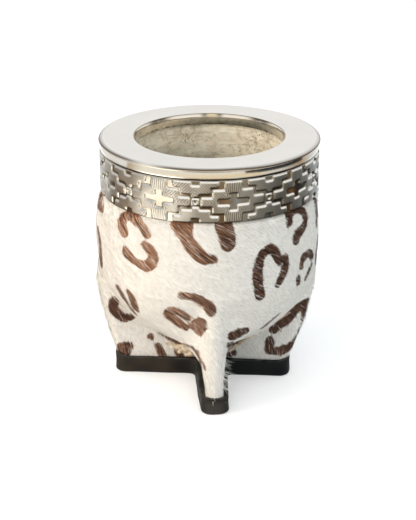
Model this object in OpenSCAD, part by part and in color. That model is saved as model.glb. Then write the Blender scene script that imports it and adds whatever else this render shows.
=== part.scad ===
// Mate gourd: a dried gourd cup in a hair-on hide cover, with a nickel silver rim
// and a leather sole cut as a cross. Millimetres, +Z up. The sole's underside is at
// z = 0, the mouth's axis is the Z axis and the front leg points to -Y.

/* [Rim] */
// Outer diameter of the rim plate
rim_d = 90; // [84:0.5:100]
// Clear diameter of the mouth
mouth_d = 60; // [50:0.5:66]
// Height of the rim's top above the table
total_h = 104.5; // [100:0.5:125]
// Thickness of the spun rim sheet
plate_t = 1; // [0.6:0.1:1.5]
// Radius of the solid bead round the plate's edge
bead_r = 1; // [0.8:0.1:1.6]
// Radius of the rolled lip at the mouth
lip_r = 2; // [1.8:0.1:3]
// Depth of the throat sleeve below the rim's top
throat_h = 4.5; // [3.5:0.5:12]

/* [Collar and band] */
// Thickness of the collar's sheet
collar_t = 0.5; // [0.3:0.1:0.8]
// How far the plain strip stands back from the bead
strip_set = 0.7; // [0.5:0.1:1.2]
// Height of the plain strip under the bead
strip_h = 2.4; // [1.6:0.1:4]
// How far the plain strip stands out of the collar
strip_out = 0.6; // [0.4:0.1:1]
// Height of the open groove between the strip and the band
groove_h = 0.4; // [0.2:0.1:0.8]
// Height of the embossed band
band_h = 17.4; // [12:0.2:22]
// Thickness of the band's sheet
band_t = 0.4; // [0.3:0.1:0.6]
// Height of the raised pattern over the sheet
relief = 0.5; // [0.3:0.1:0.8]
// Plain hem along both edges of the band
hem_h = 0.6; // [0.3:0.1:1.5]
// Repeats of the stepped pattern round the band
repeats = 9; // [7:1:12]

/* [Hide cover] */
// Thickness of the hide with its hair
hide_t = 2.5; // [1.8:0.1:3.5]
// How far the barrel stands out past the rim at its widest
barrel_out = 1; // [0:0.1:4]
// Height where the barrel turns into the belly
belly_z = 52.5; // [48:0.5:60]
// Height of the barrel's widest place above the belly
barrel_rise = 11; // [6:0.5:16]
// How far the barrel draws in towards the belly
waist_in = 0.5; // [0:0.1:1.5]
// How far the barrel draws in towards the band
shoulder_in = 1.3; // [0.5:0.1:2.5]
// Height of the belly's lowest point
belly_low = 14; // [12:0.5:18]
// Fullness of the belly's curve, where 2 is an ellipse
belly_power = 1.7; // [1.5:0.05:2.2]
// How far below the band the hide starts to draw in
tuck_drop = 1.2; // [0.8:0.1:3]
// Width of the crease between a leg and the belly
crease_w = 4; // [2:0.5:6]

/* [Legs] */
// Thickness of a leg at the sole
leg_foot_w = 9.4; // [8:0.2:12]
// Thickness of a leg at its knee
leg_knee_w = 11.2; // [9:0.2:14]
// Height of the knee, where a leg stands out most
knee_z = 41.5; // [34:0.5:46]
// How far a leg's ridge bows outwards
ridge_bow = 0.8; // [0:0.1:1.5]
// Thickness of the stiffener inside a leg
core_t = 4; // [2:0.2:4.6]
// Direction of the front leg
front_turn = -87; // [-95:0.5:-80]
// Reach of the front leg at the sole
front_foot = 44; // [36:0.5:46]
// How far the knee of the front leg stands out past the barrel
front_knee = 0.2; // [-1.5:0.1:4]
// Direction of the right leg
right_turn = -6; // [-10:0.5:10]
// Reach of the right leg at the sole
right_foot = 34.5; // [30:0.5:44]
// How far the knee of the right leg stands out past the barrel
right_knee = -1; // [-1.5:0.1:4]
// Direction of the back leg
back_turn = 92; // [82:0.5:98]
// Reach of the back leg at the sole
back_foot = 39.5; // [30:0.5:46]
// How far the knee of the back leg stands out past the barrel
back_knee = 0; // [-1.5:0.1:4]
// Direction of the left leg
left_turn = 178; // [170:0.5:186]
// Reach of the left leg at the sole
left_foot = 39.5; // [30:0.5:46]
// How far the knee of the left leg stands out past the barrel
left_knee = 1.4; // [-1.5:0.1:4]

/* [Sole] */
// Thickness of the sole
sole_t = 7.2; // [4:0.2:9]
// Width of a sole arm at its toe
toe_w = 11.6; // [9:0.2:14]
// Width that a sole arm would have at the middle of the cross
root_w = 14; // [12:0.2:18]
// How far the sole stands out past the end of a leg
toe_out = 0.6; // [0.4:0.1:2.5]
// Corner radius of a toe
toe_r = 4.6; // [2:0.2:5.6]
// Radius of the inner corners between the arms
crotch_r = 3; // [2:0.5:12]

/* [Gourd] */
// Wall of the gourd at the barrel
gourd_wall = 7; // [4:0.5:8]
// Thickness of the gourd's floor
gourd_floor = 8.5; // [5:0.5:12]
// Depth of the straight neck below the gourd's lip
neck_h = 9; // [6:0.5:12]

/* [Hidden] */
$fn = 144;

// Clearance of the hide on the gourd and on the stiffeners
fit = 0.3;
// Clearance between metal pieces that lie against each other
seat = 0.05;
// Clearance of the hide inside the collar
tuck_fit = 0.2;
// Room left over the hide's upper edge
tuck_room = 1;

mouth_r = mouth_d / 2;
rim_r = rim_d / 2;
strip_r = rim_r - strip_set;
collar_r = strip_r - strip_out;
tuck_r = collar_r - collar_t - tuck_fit;
band_r = collar_r + seat;

plate_z = total_h - plate_t;
strip_top = total_h - 2 * bead_r - seat;
strip_low = strip_top - strip_h;
band_top = strip_low - groove_h;
band_low = band_top - band_h;
gourd_top = plate_z - seat;
hide_top = min(gourd_top - tuck_room, strip_top);

// The hide draws in between these heights, to go under the band
tuck_z = band_low - tuck_drop;
neck_z = band_low + seat;

// Front, right, back and left leg: direction, reach at the sole and reach at the knee
barrel_r = rim_r + barrel_out;
LEGS = [
    [front_turn, front_foot, barrel_r + front_knee],
    [right_turn, right_foot, barrel_r + right_knee],
    [back_turn, back_foot, barrel_r + back_knee],
    [left_turn, left_foot, barrel_r + left_knee]
];
leg_count = len(LEGS);

// Radius of the barrel, inset towards the axis: widest at one height and drawn in above and below
barrel_z = belly_z + barrel_rise;
function barrel(z, inset) =
    let (up = z > barrel_z, span = up ? tuck_z - barrel_z : barrel_rise)
    barrel_r - inset - (up ? shoulder_in : waist_in) * pow((z - barrel_z) / span, 2);

// Radius of the belly, a superellipse that ends inset above its lowest point
function belly(z, inset) =
    let (rise = belly_z - belly_low - inset, u = (belly_z - z) / rise)
    u >= 1 ? 0 : barrel(belly_z, inset) * pow(1 - pow(u, belly_power), 1 / belly_power);

// Radius of the covered body at any height below the neck
function body(z, inset) = z < belly_z ? belly(z, inset) : barrel(z, inset);

// Heights of the rings on the belly and the barrel, closer together low down
belly_step = 7.5;
barrel_rings = 5;
function belly_heights(inset) = [
    for (t = [0 : belly_step : 90])
        belly_z - (belly_z - belly_low - inset) * pow(cos(t), 2 / belly_power)
];
barrel_heights = [for (i = [1 : barrel_rings]) belly_z + (tuck_z - belly_z) * i / barrel_rings];
function body_heights(inset) = concat(belly_heights(inset), barrel_heights);

// A leg's reach: bowed out from the sole to the knee, then curving back until it is sunk in the barrel
knee_bend_r = 16;
knee_sink = 2 * crease_w;
function reach(leg, z) =
    let (u = (z - sole_t) / (knee_z - sole_t))
    u > 1 ? leg[2] - min(pow(z - knee_z, 2) / (2 * knee_bend_r), knee_sink)
          : leg[1] + (leg[2] - leg[1]) * u + 4 * ridge_bow * u * (1 - u);

// Half the thickness of a leg
function leg_half(z) =
    let (u = min(1, (z - sole_t) / (knee_z - sole_t)))
    (leg_foot_w + (leg_knee_w - leg_foot_w) * u) / 2;

// The larger of two radii, blended where they are close
function blend(a, b, w) =
    max(a, b) + (w > 0 ? pow(max(w - abs(a - b), 0), 2) / (4 * w) : 0);

// Angle between a leg and the next one round, halved
function half_gap(i) =
    let (a = LEGS[i][0], b = LEGS[(i + 1) % leg_count][0])
    ((b - a + 720) % 360) / 2;

// One side of a leg's section as [angle from the leg's middle, radius], from ridge to crease:
// a round end, then the flat flank, with its points closer together towards the ridge
end_steps = 3;
flank_steps = 8;
flank_power = 1.5;
function leg_side(far, half, gap) =
    let (hub = far - half, edge = atan(half / hub))
    concat(
        [for (k = [0 : end_steps])
            let (t = 90 * k / end_steps, x = hub + half * cos(t), y = half * sin(t))
            [atan2(y, x), norm([x, y])]],
        [for (k = [1 : flank_steps])
            let (t = edge + (gap - edge) * pow(k / flank_steps, flank_power))
            [t, half / sin(t)]]
    );

// A closed section at one height through a round body and the legs that stand out of it
function section(z, radius, inset, half, crease) = [
    for (i = [0 : leg_count - 1])
        let (leg = LEGS[i], far = max(reach(leg, z) - inset, 2 * half))
        let (before = leg_side(far, half, half_gap((i + leg_count - 1) % leg_count)))
        let (after = leg_side(far, half, half_gap(i)), last = len(after) - 1)
        for (k = [-last + 1 : last])
            let (p = k < 0 ? before[-k] : after[k], t = leg[0] + (k < 0 ? -p[0] : p[0]))
            let (r = blend(radius, p[1], crease))
            [r * cos(t), r * sin(t), z]
];

// The legs are sunk in the body from the shoulder up, so the neck's sections are round
neck_heights = [neck_z, hide_top];
function cover_radius(z, inset) = z < neck_z ? body(z, inset) : tuck_r - inset;

// Rings of the hide's outside from the sole upwards, then of its inside back down
foot_z = (sole_t + belly_low) / 2;
slot_half = core_t / 2 + fit;
outer_heights = concat([sole_t, foot_z], body_heights(0), neck_heights);
inner_heights = concat([sole_t], body_heights(hide_t), neck_heights);
outer_rings = [for (z = outer_heights) section(z, cover_radius(z, 0), 0, leg_half(z), crease_w)];
inner_rings = [for (z = inner_heights) section(z, cover_radius(z, hide_t), hide_t, slot_half, 0)];
inner_count = len(inner_rings);
hide_rings = concat(outer_rings, [for (i = [inner_count - 1 : -1 : 0]) inner_rings[i]]);

// Outline of the gourd from the middle of its floor up the outside and down the inside:
// a rounded floor, then a wall that narrows to the neck
gourd_inset = hide_t + fit;
neck_r = tuck_r - gourd_inset;
throat_r = mouth_r + plate_t + fit;
inside_low = belly_low + gourd_inset + gourd_floor;
inside_top = gourd_top - neck_h;
inside_r = barrel_r - gourd_inset - gourd_wall;
inside_steps = 10;
gourd_outside = [for (z = body_heights(gourd_inset)) [body(z, gourd_inset), z]];
gourd_lip = [
    [neck_r, neck_z],
    [neck_r, gourd_top],
    [mouth_r + lip_r + fit, gourd_top],
    [throat_r, total_h - lip_r - fit]
];
gourd_neck = [
    for (k = [inside_steps : -1 : 1])
        let (u = k / inside_steps)
        [inside_r + (throat_r - inside_r) * (1 - cos(180 * u)) / 2, belly_z + (inside_top - belly_z) * u]
];
gourd_bowl = [
    for (k = [inside_steps : -1 : 0])
        let (t = 90 * k / inside_steps)
        [inside_r * sin(t), belly_z - (belly_z - inside_low) * cos(t)]
];
gourd_outline = concat(gourd_outside, gourd_lip, gourd_neck, gourd_bowl);

// Stepped pattern grid: columns across one repeat and rows up the band
pattern_columns = 12;
pattern_rows = 13;
column_turn = 360 / repeats / pattern_columns;
row_h = (band_h - 2 * hem_h) / pattern_rows;
pattern_z = (band_top + band_low) / 2;
edge_row = pattern_rows / 2;
// Turn of the first stepped cross from the front
cross_turn = -7.3;
face_r = band_r + band_t + relief;

// The gourd: a thick dried shell with a rounded floor
module gourd_cup() {
    color("tan")
        rotate_extrude()
            polygon(gourd_outline);
}

// Section of the rim sheet: flat top, solid bead outside, rolled lip and throat sleeve inside
module rim_section() {
    lip_c = [mouth_r + lip_r, total_h - lip_r];
    translate([lip_c[0], plate_z])
        square([rim_r - bead_r - lip_c[0], plate_t]);
    translate([rim_r - bead_r, total_h - bead_r])
        circle(bead_r);
    intersection() {
        translate(lip_c)
            difference() {
                circle(lip_r);
                circle(lip_r - plate_t);
            }
        translate([mouth_r, lip_c[1]])
            square(lip_r);
    }
    translate([mouth_r, total_h - throat_h])
        square([plate_t, throat_h - lip_r]);
}

module rim_plate() {
    color("gainsboro")
        rotate_extrude()
            rim_section();
}

// The collar: a thin sleeve with a plain raised strip under the bead
module collar_ring() {
    color("silver")
        rotate_extrude()
            union() {
                translate([collar_r - collar_t, neck_z])
                    square([collar_t, strip_top - neck_z]);
                translate([collar_r - collar_t, strip_low])
                    square([collar_t + strip_out, strip_h]);
            }
}

// A point of the pattern, in columns from the motif's middle and rows from the band's middle,
// drawn flat so that a straight cut through the sheet puts it in its place round the band
function spot(p) = [face_r * sin(p[0] * column_turn), p[1] * row_h];

// A list of points followed by its mirror image, read back to front
function mirrored(points, flip) =
    concat(points, [for (i = [len(points) - 1 : -1 : 0]) [points[i][0] * flip[0], points[i][1] * flip[1]]]);
function both_sides(half) = mirrored(half, [-1, 1]);
function both_ends(half) = mirrored(half, [1, -1]);

// An outline with its rows turned over
function turned(outline) = [for (p = outline) [p[0], -p[1]]];

// A straight cut through the front of the band
module cutter(outline) {
    translate([0, 0, pattern_z])
        rotate([90, 0, 0])
            linear_extrude(rim_r)
                polygon([for (p = outline) spot(p)]);
}

// The raised metal inside an outline, apart from a hole
module raised(outline, hole) {
    intersection() {
        rotate_extrude()
            translate([band_r + band_t / 2, band_low])
                square([band_t / 2 + relief, band_h]);
        difference() {
            cutter(outline);
            if (len(hole) > 0)
                cutter(hole);
        }
    }
}

// Right halves of the outlines in one motif: a stepped pyramid with a stem and a notch
pyramid = [
    [0.5, 1.5], [0.5, 2.75], [2.1, 2.75], [2.1, 5],
    [3.4, 5], [3.4, edge_row], [0.7, edge_row], [0.7, 5.3]
];
// A small square ring
ring_out = both_ends([[0.5, 1]]);
ring_in = both_ends([[0.25, 0.5]]);
// A flower of four petals round a star, with a column above and below and a tile at each side
flower = both_ends([[1.5, edge_row], [1.5, 3.75], [3.2, 3.75], [3.2, 1.5], [5, 1.5]]);
star = both_ends([[0.35, 3.3], [0.9, 0.9], [2.8, 0.35]]);

// One repeat of the stepped pattern
module motif() {
    raised(both_sides(pyramid), []);
    raised(both_sides(turned(pyramid)), []);
    raised(both_sides(ring_out), both_sides(ring_in));
    rotate(180 / repeats)
        raised(both_sides(flower), both_sides(star));
}

module embossed_band() {
    color("darkgray")
        union() {
            rotate_extrude()
                translate([band_r, band_low])
                    square([band_t, band_h]);
            for (i = [0 : repeats - 1])
                rotate(cross_turn + 360 * i / repeats)
                    motif();
        }
}

// Closes a list of equal rings into one ring-shaped solid of triangles
module ring_solid(rings) {
    n = len(rings[0]);
    m = len(rings);
    points = [for (ring = rings) for (p = ring) p];
    faces = [
        for (i = [0 : m - 1])
            for (k = [0 : n - 1])
                let (a = i * n, b = ((i + 1) % m) * n, j = (k + 1) % n)
                for (f = [[a + k, b + k, b + j], [a + k, b + j, a + j]])
                    f
    ];
    polyhedron(points, faces);
}

// The hide: a barrel drawn into four legs, open below for the stiffeners
module hide_cover() {
    color("ivory")
        ring_solid(hide_rings);
}

// The gourd's outside grown by the clearance, which the stiffeners are shaped to
module gourd_clearance() {
    rotate_extrude()
        polygon(concat([for (z = body_heights(hide_t)) [body(z, hide_t), z]], [[0, tuck_z]]));
}

// A stiffener: an upright plate that follows the leg's ridge and carries the gourd
core_steps = 5;
module leg_core(i) {
    leg = LEGS[i];
    inner = core_t;
    outline = concat(
        [[inner, knee_z], [inner, sole_t]],
        [for (k = [0 : core_steps])
            let (z = sole_t + (knee_z - sole_t) * k / core_steps)
            [reach(leg, z) - hide_t - slot_half, z]]
    );
    color("saddlebrown")
        difference() {
            rotate(leg[0])
                rotate([90, 0, 0])
                    linear_extrude(core_t, center = true)
                        polygon(outline);
            gourd_clearance();
        }
}

module leg_core_front() leg_core(0);
module leg_core_right() leg_core(1);
module leg_core_back() leg_core(2);
module leg_core_left() leg_core(3);

// Outline of the sole, leg by leg: the two rounded corners of a toe, then the hollow corner
// that leads to the next arm. Flanks lean in a little towards the toes.
corner_steps = 8;
toe_round = min(toe_r, toe_w / 2 - fit);
toe_flat = toe_w / 2 - toe_round;
function aim(t) = [cos(t), sin(t)];
function toe_hub(leg) = leg[1] + toe_out - toe_round;
function lean(leg) = atan((root_w - toe_w) / 2 / toe_hub(leg));
function flank_d(leg) = toe_hub(leg) * sin(lean(leg)) + toe_flat * cos(lean(leg)) + toe_round;

// Where two lines meet, each given by its normal's direction and its distance from the axis
function meet(na, da, nb, db) =
    let (d = sin(nb - na))
    [(da * sin(nb) - db * sin(na)) / d, (db * cos(na) - da * cos(nb)) / d];

function toe_corner(leg, side) =
    let (hub = toe_hub(leg) * aim(leg[0]) + side * toe_flat * aim(leg[0] + 90))
    let (from = side < 0 ? lean(leg) - 90 : 0)
    [for (k = [0 : corner_steps])
        hub + toe_round * aim(leg[0] + from + (90 - lean(leg)) * k / corner_steps)];

function crotch(leg, next) =
    let (na = leg[0] + 90 - lean(leg), nb = next[0] - 90 + lean(next))
    let (hub = meet(na, flank_d(leg) + crotch_r, nb, flank_d(next) + crotch_r))
    let (sweep = ((nb - na + 720) % 360) - 360)
    [for (k = [0 : corner_steps]) hub - crotch_r * aim(na + sweep * k / corner_steps)];

sole_outline = [
    for (i = [0 : leg_count - 1])
        let (leg = LEGS[i], next = LEGS[(i + 1) % leg_count])
        for (p = concat(toe_corner(leg, -1), toe_corner(leg, 1), crotch(leg, next)))
            p
];

module cross_sole() {
    color("#2a2826")
        linear_extrude(sole_t)
            polygon(sole_outline);
}

gourd_cup();
rim_plate();
collar_ring();
embossed_band();
hide_cover();
leg_core_front();
leg_core_right();
leg_core_back();
leg_core_left();
cross_sole();
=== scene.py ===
"""Looks of a mate gourd: a dried gourd in a hair-on hide with leopard spots, a nickel silver rim
with a chiselled band, and a black leather sole cut as a cross. The scene is in metres. Sizes in
this file are in millimetres, unless a comment says otherwise."""
import math

import bpy
import numpy as np
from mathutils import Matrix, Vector
from mathutils.bvhtree import BVHTree


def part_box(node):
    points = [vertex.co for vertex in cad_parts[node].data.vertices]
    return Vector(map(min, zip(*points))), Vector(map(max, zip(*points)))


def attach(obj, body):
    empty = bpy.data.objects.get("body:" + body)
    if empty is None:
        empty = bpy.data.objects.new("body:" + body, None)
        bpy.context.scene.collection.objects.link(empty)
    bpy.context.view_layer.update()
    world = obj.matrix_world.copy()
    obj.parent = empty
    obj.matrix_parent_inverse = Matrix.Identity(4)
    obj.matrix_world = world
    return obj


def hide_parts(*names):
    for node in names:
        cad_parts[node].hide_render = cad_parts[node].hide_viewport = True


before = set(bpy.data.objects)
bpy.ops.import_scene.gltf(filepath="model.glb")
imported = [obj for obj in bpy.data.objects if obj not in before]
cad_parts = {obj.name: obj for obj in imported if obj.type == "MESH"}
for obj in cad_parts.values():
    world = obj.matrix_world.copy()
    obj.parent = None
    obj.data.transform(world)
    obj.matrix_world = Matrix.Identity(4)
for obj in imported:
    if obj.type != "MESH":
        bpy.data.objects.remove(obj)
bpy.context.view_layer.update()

MM = 0.001
ROOT = "root"


def extent(node):
    """Lowest and highest corner of a CAD node, in millimetres."""
    low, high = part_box(node)
    return np.array(low) / MM, np.array(high) / MM


# Rim: a plate with a flat bead outside and a small rolled lip over its flared throat
RIM_R, TOP_Z = extent("rim_plate")[1][[0, 2]]
MOUTH_R = 30.0
PLATE_T = 1.0
DISH = 0.12
BEAD_R = 1.0
BEAD_WIDE = 1.8
BEAD_LOW = 0.25
BEAD_STEP, BEAD_NECK = 0.3, 0.4
BEAD_AT = (RIM_R - BEAD_WIDE, TOP_Z - BEAD_R)
LIP_R = 2.0
LIP_ROUND = 0.65
LIP_TILT = math.radians(23)
THROAT_FLARE = 0.45
THROAT_CURL = 4
THROAT_LOW = TOP_Z - 4.5
LIP_AT = (MOUTH_R + THROAT_FLARE + LIP_ROUND * math.cos(LIP_TILT), TOP_Z - LIP_ROUND)

# Collar under the rim, with its plain strip
STRIP_R, STRIP_TOP = extent("collar_ring")[1][[0, 2]]
STRIP_H = 2.4
STRIP_UP = 0.1
STRIP_LEAN = 0.18
STRIP_ROUND = 0.35
COLLAR_OUT = 0.6
COLLAR_T = 0.5
COLLAR_LOW = extent("collar_ring")[0][2]
COLLAR_SATIN = 0.3

# Band
BAND_LOW = extent("embossed_band")[0][2]
FACE_R, BAND_TOP = extent("embossed_band")[1][[0, 2]]
RELIEF = 0.5
SHEET_T = 0.4
HEM_H = 0.4
REPEATS = 9
PATTERN_COLUMNS = 12
PATTERN_ROWS = 13
CROSS_TURN = math.radians(-7.3)

# Hide
HIDE_T = 2.5
NAP = 0.35
HIDE_TOP = extent("hide_cover")[1][2]
BARREL_R = RIM_R + 1.0
BELLY_Z = 52.5
BARREL_Z = BELLY_Z + 11.0
WAIST_IN = 0.5
SHOULDER_IN = 1.3
BELLY_LOW = 14.0
BELLY_POWER = 1.7
TUCK_Z = BAND_LOW - 1.2
TUCK_R = STRIP_R - COLLAR_OUT - COLLAR_T - 0.2
CREASE_W = 4.0
HIGH_CREASE_W = 9.0
LEG_FOOT_W = 9.4
LEG_KNEE_W = 11.2
KNEE_Z = 41.5
KNEE_BEND_R = 16.0
KNEE_SINK = 2 * CREASE_W
RIDGE_BOW = 0.8
# How far round the hide is drawn out beside the front leg, to its left and right: height, degrees
DRAWN_OUT = {
    -1: ((14.0, 8.0), (17.0, 17.0), (21.0, 30.0), (27.0, 42.0), (34.0, 45.0)),
    1: ((20.0, 8.0), (25.0, 18.0), (31.0, 33.0), (38.0, 38.0)),
}
DRAWN_POWER = 1.7
# How much slimmer the front leg is on its left and right, at the foot and from a height above the sole
SLIMMER = {-1: (0.8, 0.0), 1: (1.3, 0.9)}
SLIMMER_H = 12.0
# Front, right, back and left leg: direction in degrees, reach at the sole and at the knee
LEGS = (
    (-87.0, 44.0, BARREL_R + 0.2),
    (-6.0, 33.8, BARREL_R - 1.0),
    (92.0, 39.5, BARREL_R),
    (178.0, 39.5, BARREL_R + 1.0),
)

# Sole
SOLE_T = extent("cross_sole")[1][2]
TOE_W = 11.6
ROOT_W = 14.0
TOE_OUT = 0.6
TOE_R = 4.6
# How far the top edge of each toe turns up, in the order of the legs
TOE_LIFT = (0.2, 0.6, 0.6, 1.5)
CROTCH_R = 3.0

# Gourd
GOURD_WALL = 7.0
GOURD_FLOOR = 8.5
GOURD_FIT = 0.3
GOURD_NECK_H = 9.0
GOURD_TOP = extent("gourd_cup")[1][2]

# Photograph: its frame and its camera, in pixels, millimetres and degrees
PHOTO_W, PHOTO_H = 416, 520
FOCAL_PX = 1544.0
AXIS_X, AXIS_Y = 209.4, 260.0
EYE = np.array([0.0, -600.0, 289.0])
EYE_PITCH = math.radians(21.74)
SENSOR = 36.0
MM_PER_PIXEL = 0.4


# Small helpers for points


def unit(v):
    """Vectors of length one along the last axis."""
    return v / np.maximum(np.linalg.norm(v, axis=-1, keepdims=True), 1e-12)


def smooth_step(x, low, high):
    """A share that rises smoothly from 0 to 1 between two values."""
    t = np.clip((x - low) / (high - low), 0.0, 1.0)
    return t * t * (3 - 2 * t)


def zone(x, rise, fall):
    """A share that rises from 0 to 1 over one stretch and falls again over another."""
    return smooth_step(x, *rise) * (1 - smooth_step(x, *fall))


def bell(x, middle, width):
    """A smooth hump of height 1."""
    return np.exp(-(((x - middle) / width) ** 2))


def around(r, turn, z):
    """Points at radii, angles in radians and heights."""
    return np.stack(np.broadcast_arrays(r * np.cos(turn), r * np.sin(turn), z), -1)


def wobble(points, scale, seed, waves=7):
    """A smooth, repeatable unevenness from about -1 to 1, with features of about one scale."""
    rng = np.random.default_rng(seed)
    total = np.zeros(points.shape[:-1])
    for _ in range(waves):
        way = unit(rng.normal(size=3)) * rng.uniform(0.6, 1.5) * 2 * math.pi / scale
        total += np.sin(points @ way + rng.uniform(0, 2 * math.pi))
    return total / math.sqrt(waves)


def arc(centre, radius, start, end, steps):
    """Points of an arc as (r, z), from one angle to another in degrees."""
    t = np.radians(np.linspace(start, end, steps + 1))
    return [(centre[0] + radius * math.cos(a), centre[1] + radius * math.sin(a)) for a in t]


def new_object(name, points, faces, uv=None, floats=None):
    """A mesh object from points in millimetres. uv has one pair for each face corner."""
    mesh = bpy.data.meshes.new(name)
    mesh.from_pydata((np.asarray(points) * MM).tolist(), [], [list(f) for f in faces])
    for key, values in (floats or {}).items():
        layer = mesh.attributes.new(key, "FLOAT", "POINT")
        layer.data.foreach_set("value", np.asarray(values, np.float32).ravel())
    if uv is not None:
        layer = mesh.uv_layers.new(name="OFBake")
        layer.uv.foreach_set("vector", np.asarray(uv, np.float32).ravel())
    mesh.polygons.foreach_set("use_smooth", [True] * len(mesh.polygons))
    mesh.update()
    ob = bpy.data.objects.new(name, mesh)
    bpy.context.scene.collection.objects.link(ob)
    return ob


def add_vectors(ob, name, vectors):
    """Stores a vector for each point of a mesh."""
    layer = ob.data.attributes.new(name, "FLOAT_VECTOR", "POINT")
    layer.data.foreach_set("vector", np.asarray(vectors, np.float32).ravel())


def grid_faces(rows, columns, loop_rows=False):
    """Quads and their map corners for a grid that closes round its columns."""
    last = rows if loop_rows else rows - 1
    i, k = np.meshgrid(np.arange(last), np.arange(columns), indexing="ij")
    i, k = i.ravel(), k.ravel()
    up, on = (i + 1) % rows, (k + 1) % columns
    faces = np.stack([i * columns + k, i * columns + on, up * columns + on, up * columns + k], 1)
    u = np.stack([k, k + 1, k + 1, k], 1) / columns
    v = np.stack([i, i, i + 1, i + 1], 1) / last
    return faces, np.stack([u, v], -1)


def capped_faces(rows, columns):
    """Faces of a grid that closes round its columns, with a cap at either end."""
    faces = grid_faces(rows, columns)[0].tolist()
    last = (rows - 1) * columns
    return [*faces, list(range(columns))[::-1], list(range(last, last + columns))]


def grid_object(name, points, loop_rows=False, floats=None):
    """A mesh from points[row][column] that closes round its columns."""
    faces, uv = grid_faces(*points.shape[:2], loop_rows)
    return new_object(name, points.reshape(-1, 3), faces.tolist(), uv, floats)


def lathe(profile, columns):
    """Points[row][column] of a profile of (r, z) turned round the Z axis."""
    r, z = np.array(profile).T[..., None]
    return around(r, np.arange(columns) * 2 * math.pi / columns, z)


def grid_normals(points):
    """Normals of a grid closed round its columns. They face outwards where its rows lead up."""
    across = np.roll(points, -1, 1) - np.roll(points, 1, 1)
    up = np.gradient(points, axis=0)
    return unit(np.cross(across, up))


def dress(ob, mat, slot, *nodes):
    """Gives a piece its material and body, and hides the CAD nodes that it stands for. Its slot is not used.
    """
    ob.data.materials.append(mat)
    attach(ob, ROOT)
    if nodes:
        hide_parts(*nodes)


# Shape of the hide


def barrel(z, inset):
    """Radius of the barrel, which is widest at one height and draws in above and below it."""
    up = z > BARREL_Z
    span = TUCK_Z - BARREL_Z if up else BARREL_Z - BELLY_Z
    return BARREL_R - inset - (SHOULDER_IN if up else WAIST_IN) * ((z - BARREL_Z) / span) ** 2


def body(z, inset):
    """Radius of the covered gourd: a barrel above and a rounded belly below."""
    if z >= BAND_LOW:
        return TUCK_R - inset
    if z >= TUCK_Z:
        share = (z - TUCK_Z) / (BAND_LOW - TUCK_Z)
        return barrel(TUCK_Z, inset) * (1 - share) + (TUCK_R - inset) * share
    if z >= BELLY_Z:
        return barrel(z, inset)
    u = (BELLY_Z - z) / (BELLY_Z - BELLY_LOW - inset)
    return 0.0 if u >= 1 else barrel(BELLY_Z, inset) * (1 - u**BELLY_POWER) ** (1 / BELLY_POWER)


def leg_reach(leg, z):
    """How far a leg's ridge lies from the axis. Above the knee it sinks into the body."""
    u = (z - SOLE_T) / (KNEE_Z - SOLE_T)
    if u > 1:
        return leg[2] - min((z - KNEE_Z) ** 2 / (2 * KNEE_BEND_R), KNEE_SINK)
    return leg[1] + (leg[2] - leg[1]) * u + 4 * RIDGE_BOW * u * (1 - u)


def leg_half(z):
    """Half the width of a leg."""
    u = min(1.0, (z - SOLE_T) / (KNEE_Z - SOLE_T))
    return (LEG_FOOT_W + (LEG_KNEE_W - LEG_FOOT_W) * u) / 2


def leg_trim(i, side, z):
    """How much slimmer one side of the front leg is than that of the others."""
    if i:
        return 0.0
    foot, knee = SLIMMER[side]
    return foot + (knee - foot) * float(smooth_step(z, SOLE_T, SOLE_T + SLIMMER_H))


def half_gap(i):
    """Half the angle from a leg to the next one round, in degrees."""
    return ((LEGS[(i + 1) % len(LEGS)][0] - LEGS[i][0]) % 360) / 2


# Where the creases beside a leg are wide: heights, and how far the leg stands out of the body
WIDE_CREASE_Z = (20, 34)
WIDE_CREASE_OUT = (1, 9)


def crease_width(i, z, inset):
    """Width of the soft crease beside a leg. It narrows where the leg fades into the body."""
    stands_out = leg_reach(LEGS[i], z) - inset - body(z, inset)
    high = smooth_step(z, *WIDE_CREASE_Z) * smooth_step(stands_out, *WIDE_CREASE_OUT)
    return CREASE_W + (HIGH_CREASE_W - CREASE_W) * float(high)


def drawn_angle(i, side, z):
    """How far round from its ridge a leg draws out the hide, in radians."""
    if i:
        return 0.0
    heights, degrees = np.array(DRAWN_OUT[side]).T
    return math.radians(np.interp(z, heights, degrees))


# Samples of a leg's section: round its end, and along its flank, closer together near the end
END_SAMPLES = 24
FLANK_SAMPLES = 160
FLANK_POWER = 1.5
# Stretch beside a leg where its crease is wide: from its edge's angle, and as a share of the way to the next
BESIDE_EDGE = 1.6
BESIDE_GAP = (0.5, 0.95)
TINY = 1e-6


def soft_max(a, b, width):
    """The larger of two, rounded off where they are within a width of each other."""
    close = np.maximum(width - np.abs(a - b), 0)
    return np.maximum(a, b) + close**2 / (4 * width)


def leg_side(far, half, gap, radius, crease, drawn):
    """One side of a leg's section, from its ridge to the valley, as angles and radii."""
    hub = far - half
    t = np.radians(np.linspace(0, 90, END_SAMPLES))
    x, y = hub + half * np.cos(t), half * np.sin(t)
    edge = math.atan2(half, hub)
    share = np.linspace(0, 1, FLANK_SAMPLES + 1)[1:]
    flank = edge + (math.radians(gap) - edge) * share**FLANK_POWER
    angles = np.concatenate([np.arctan2(y, x), flank])
    radii = np.concatenate([np.hypot(x, y), half / np.sin(flank)])
    if not crease:
        return angles, np.maximum(radii, radius)
    beside = smooth_step(angles, 0.0, BESIDE_EDGE * edge)
    beside = beside * (1 - smooth_step(angles / math.radians(gap), *BESIDE_GAP))
    radii = soft_max(radii, radius, CREASE_W + (crease - CREASE_W) * beside)
    if drawn > edge:
        t = np.clip((angles - edge) / (drawn - edge), 0, 1)
        rise = max(math.hypot(hub, half) - radius, 0) * (1 - t) ** DRAWN_POWER
        radii = soft_max(radii, radius + rise, np.minimum(CREASE_W, 2 * rise) + TINY)
    return angles, radii


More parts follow.
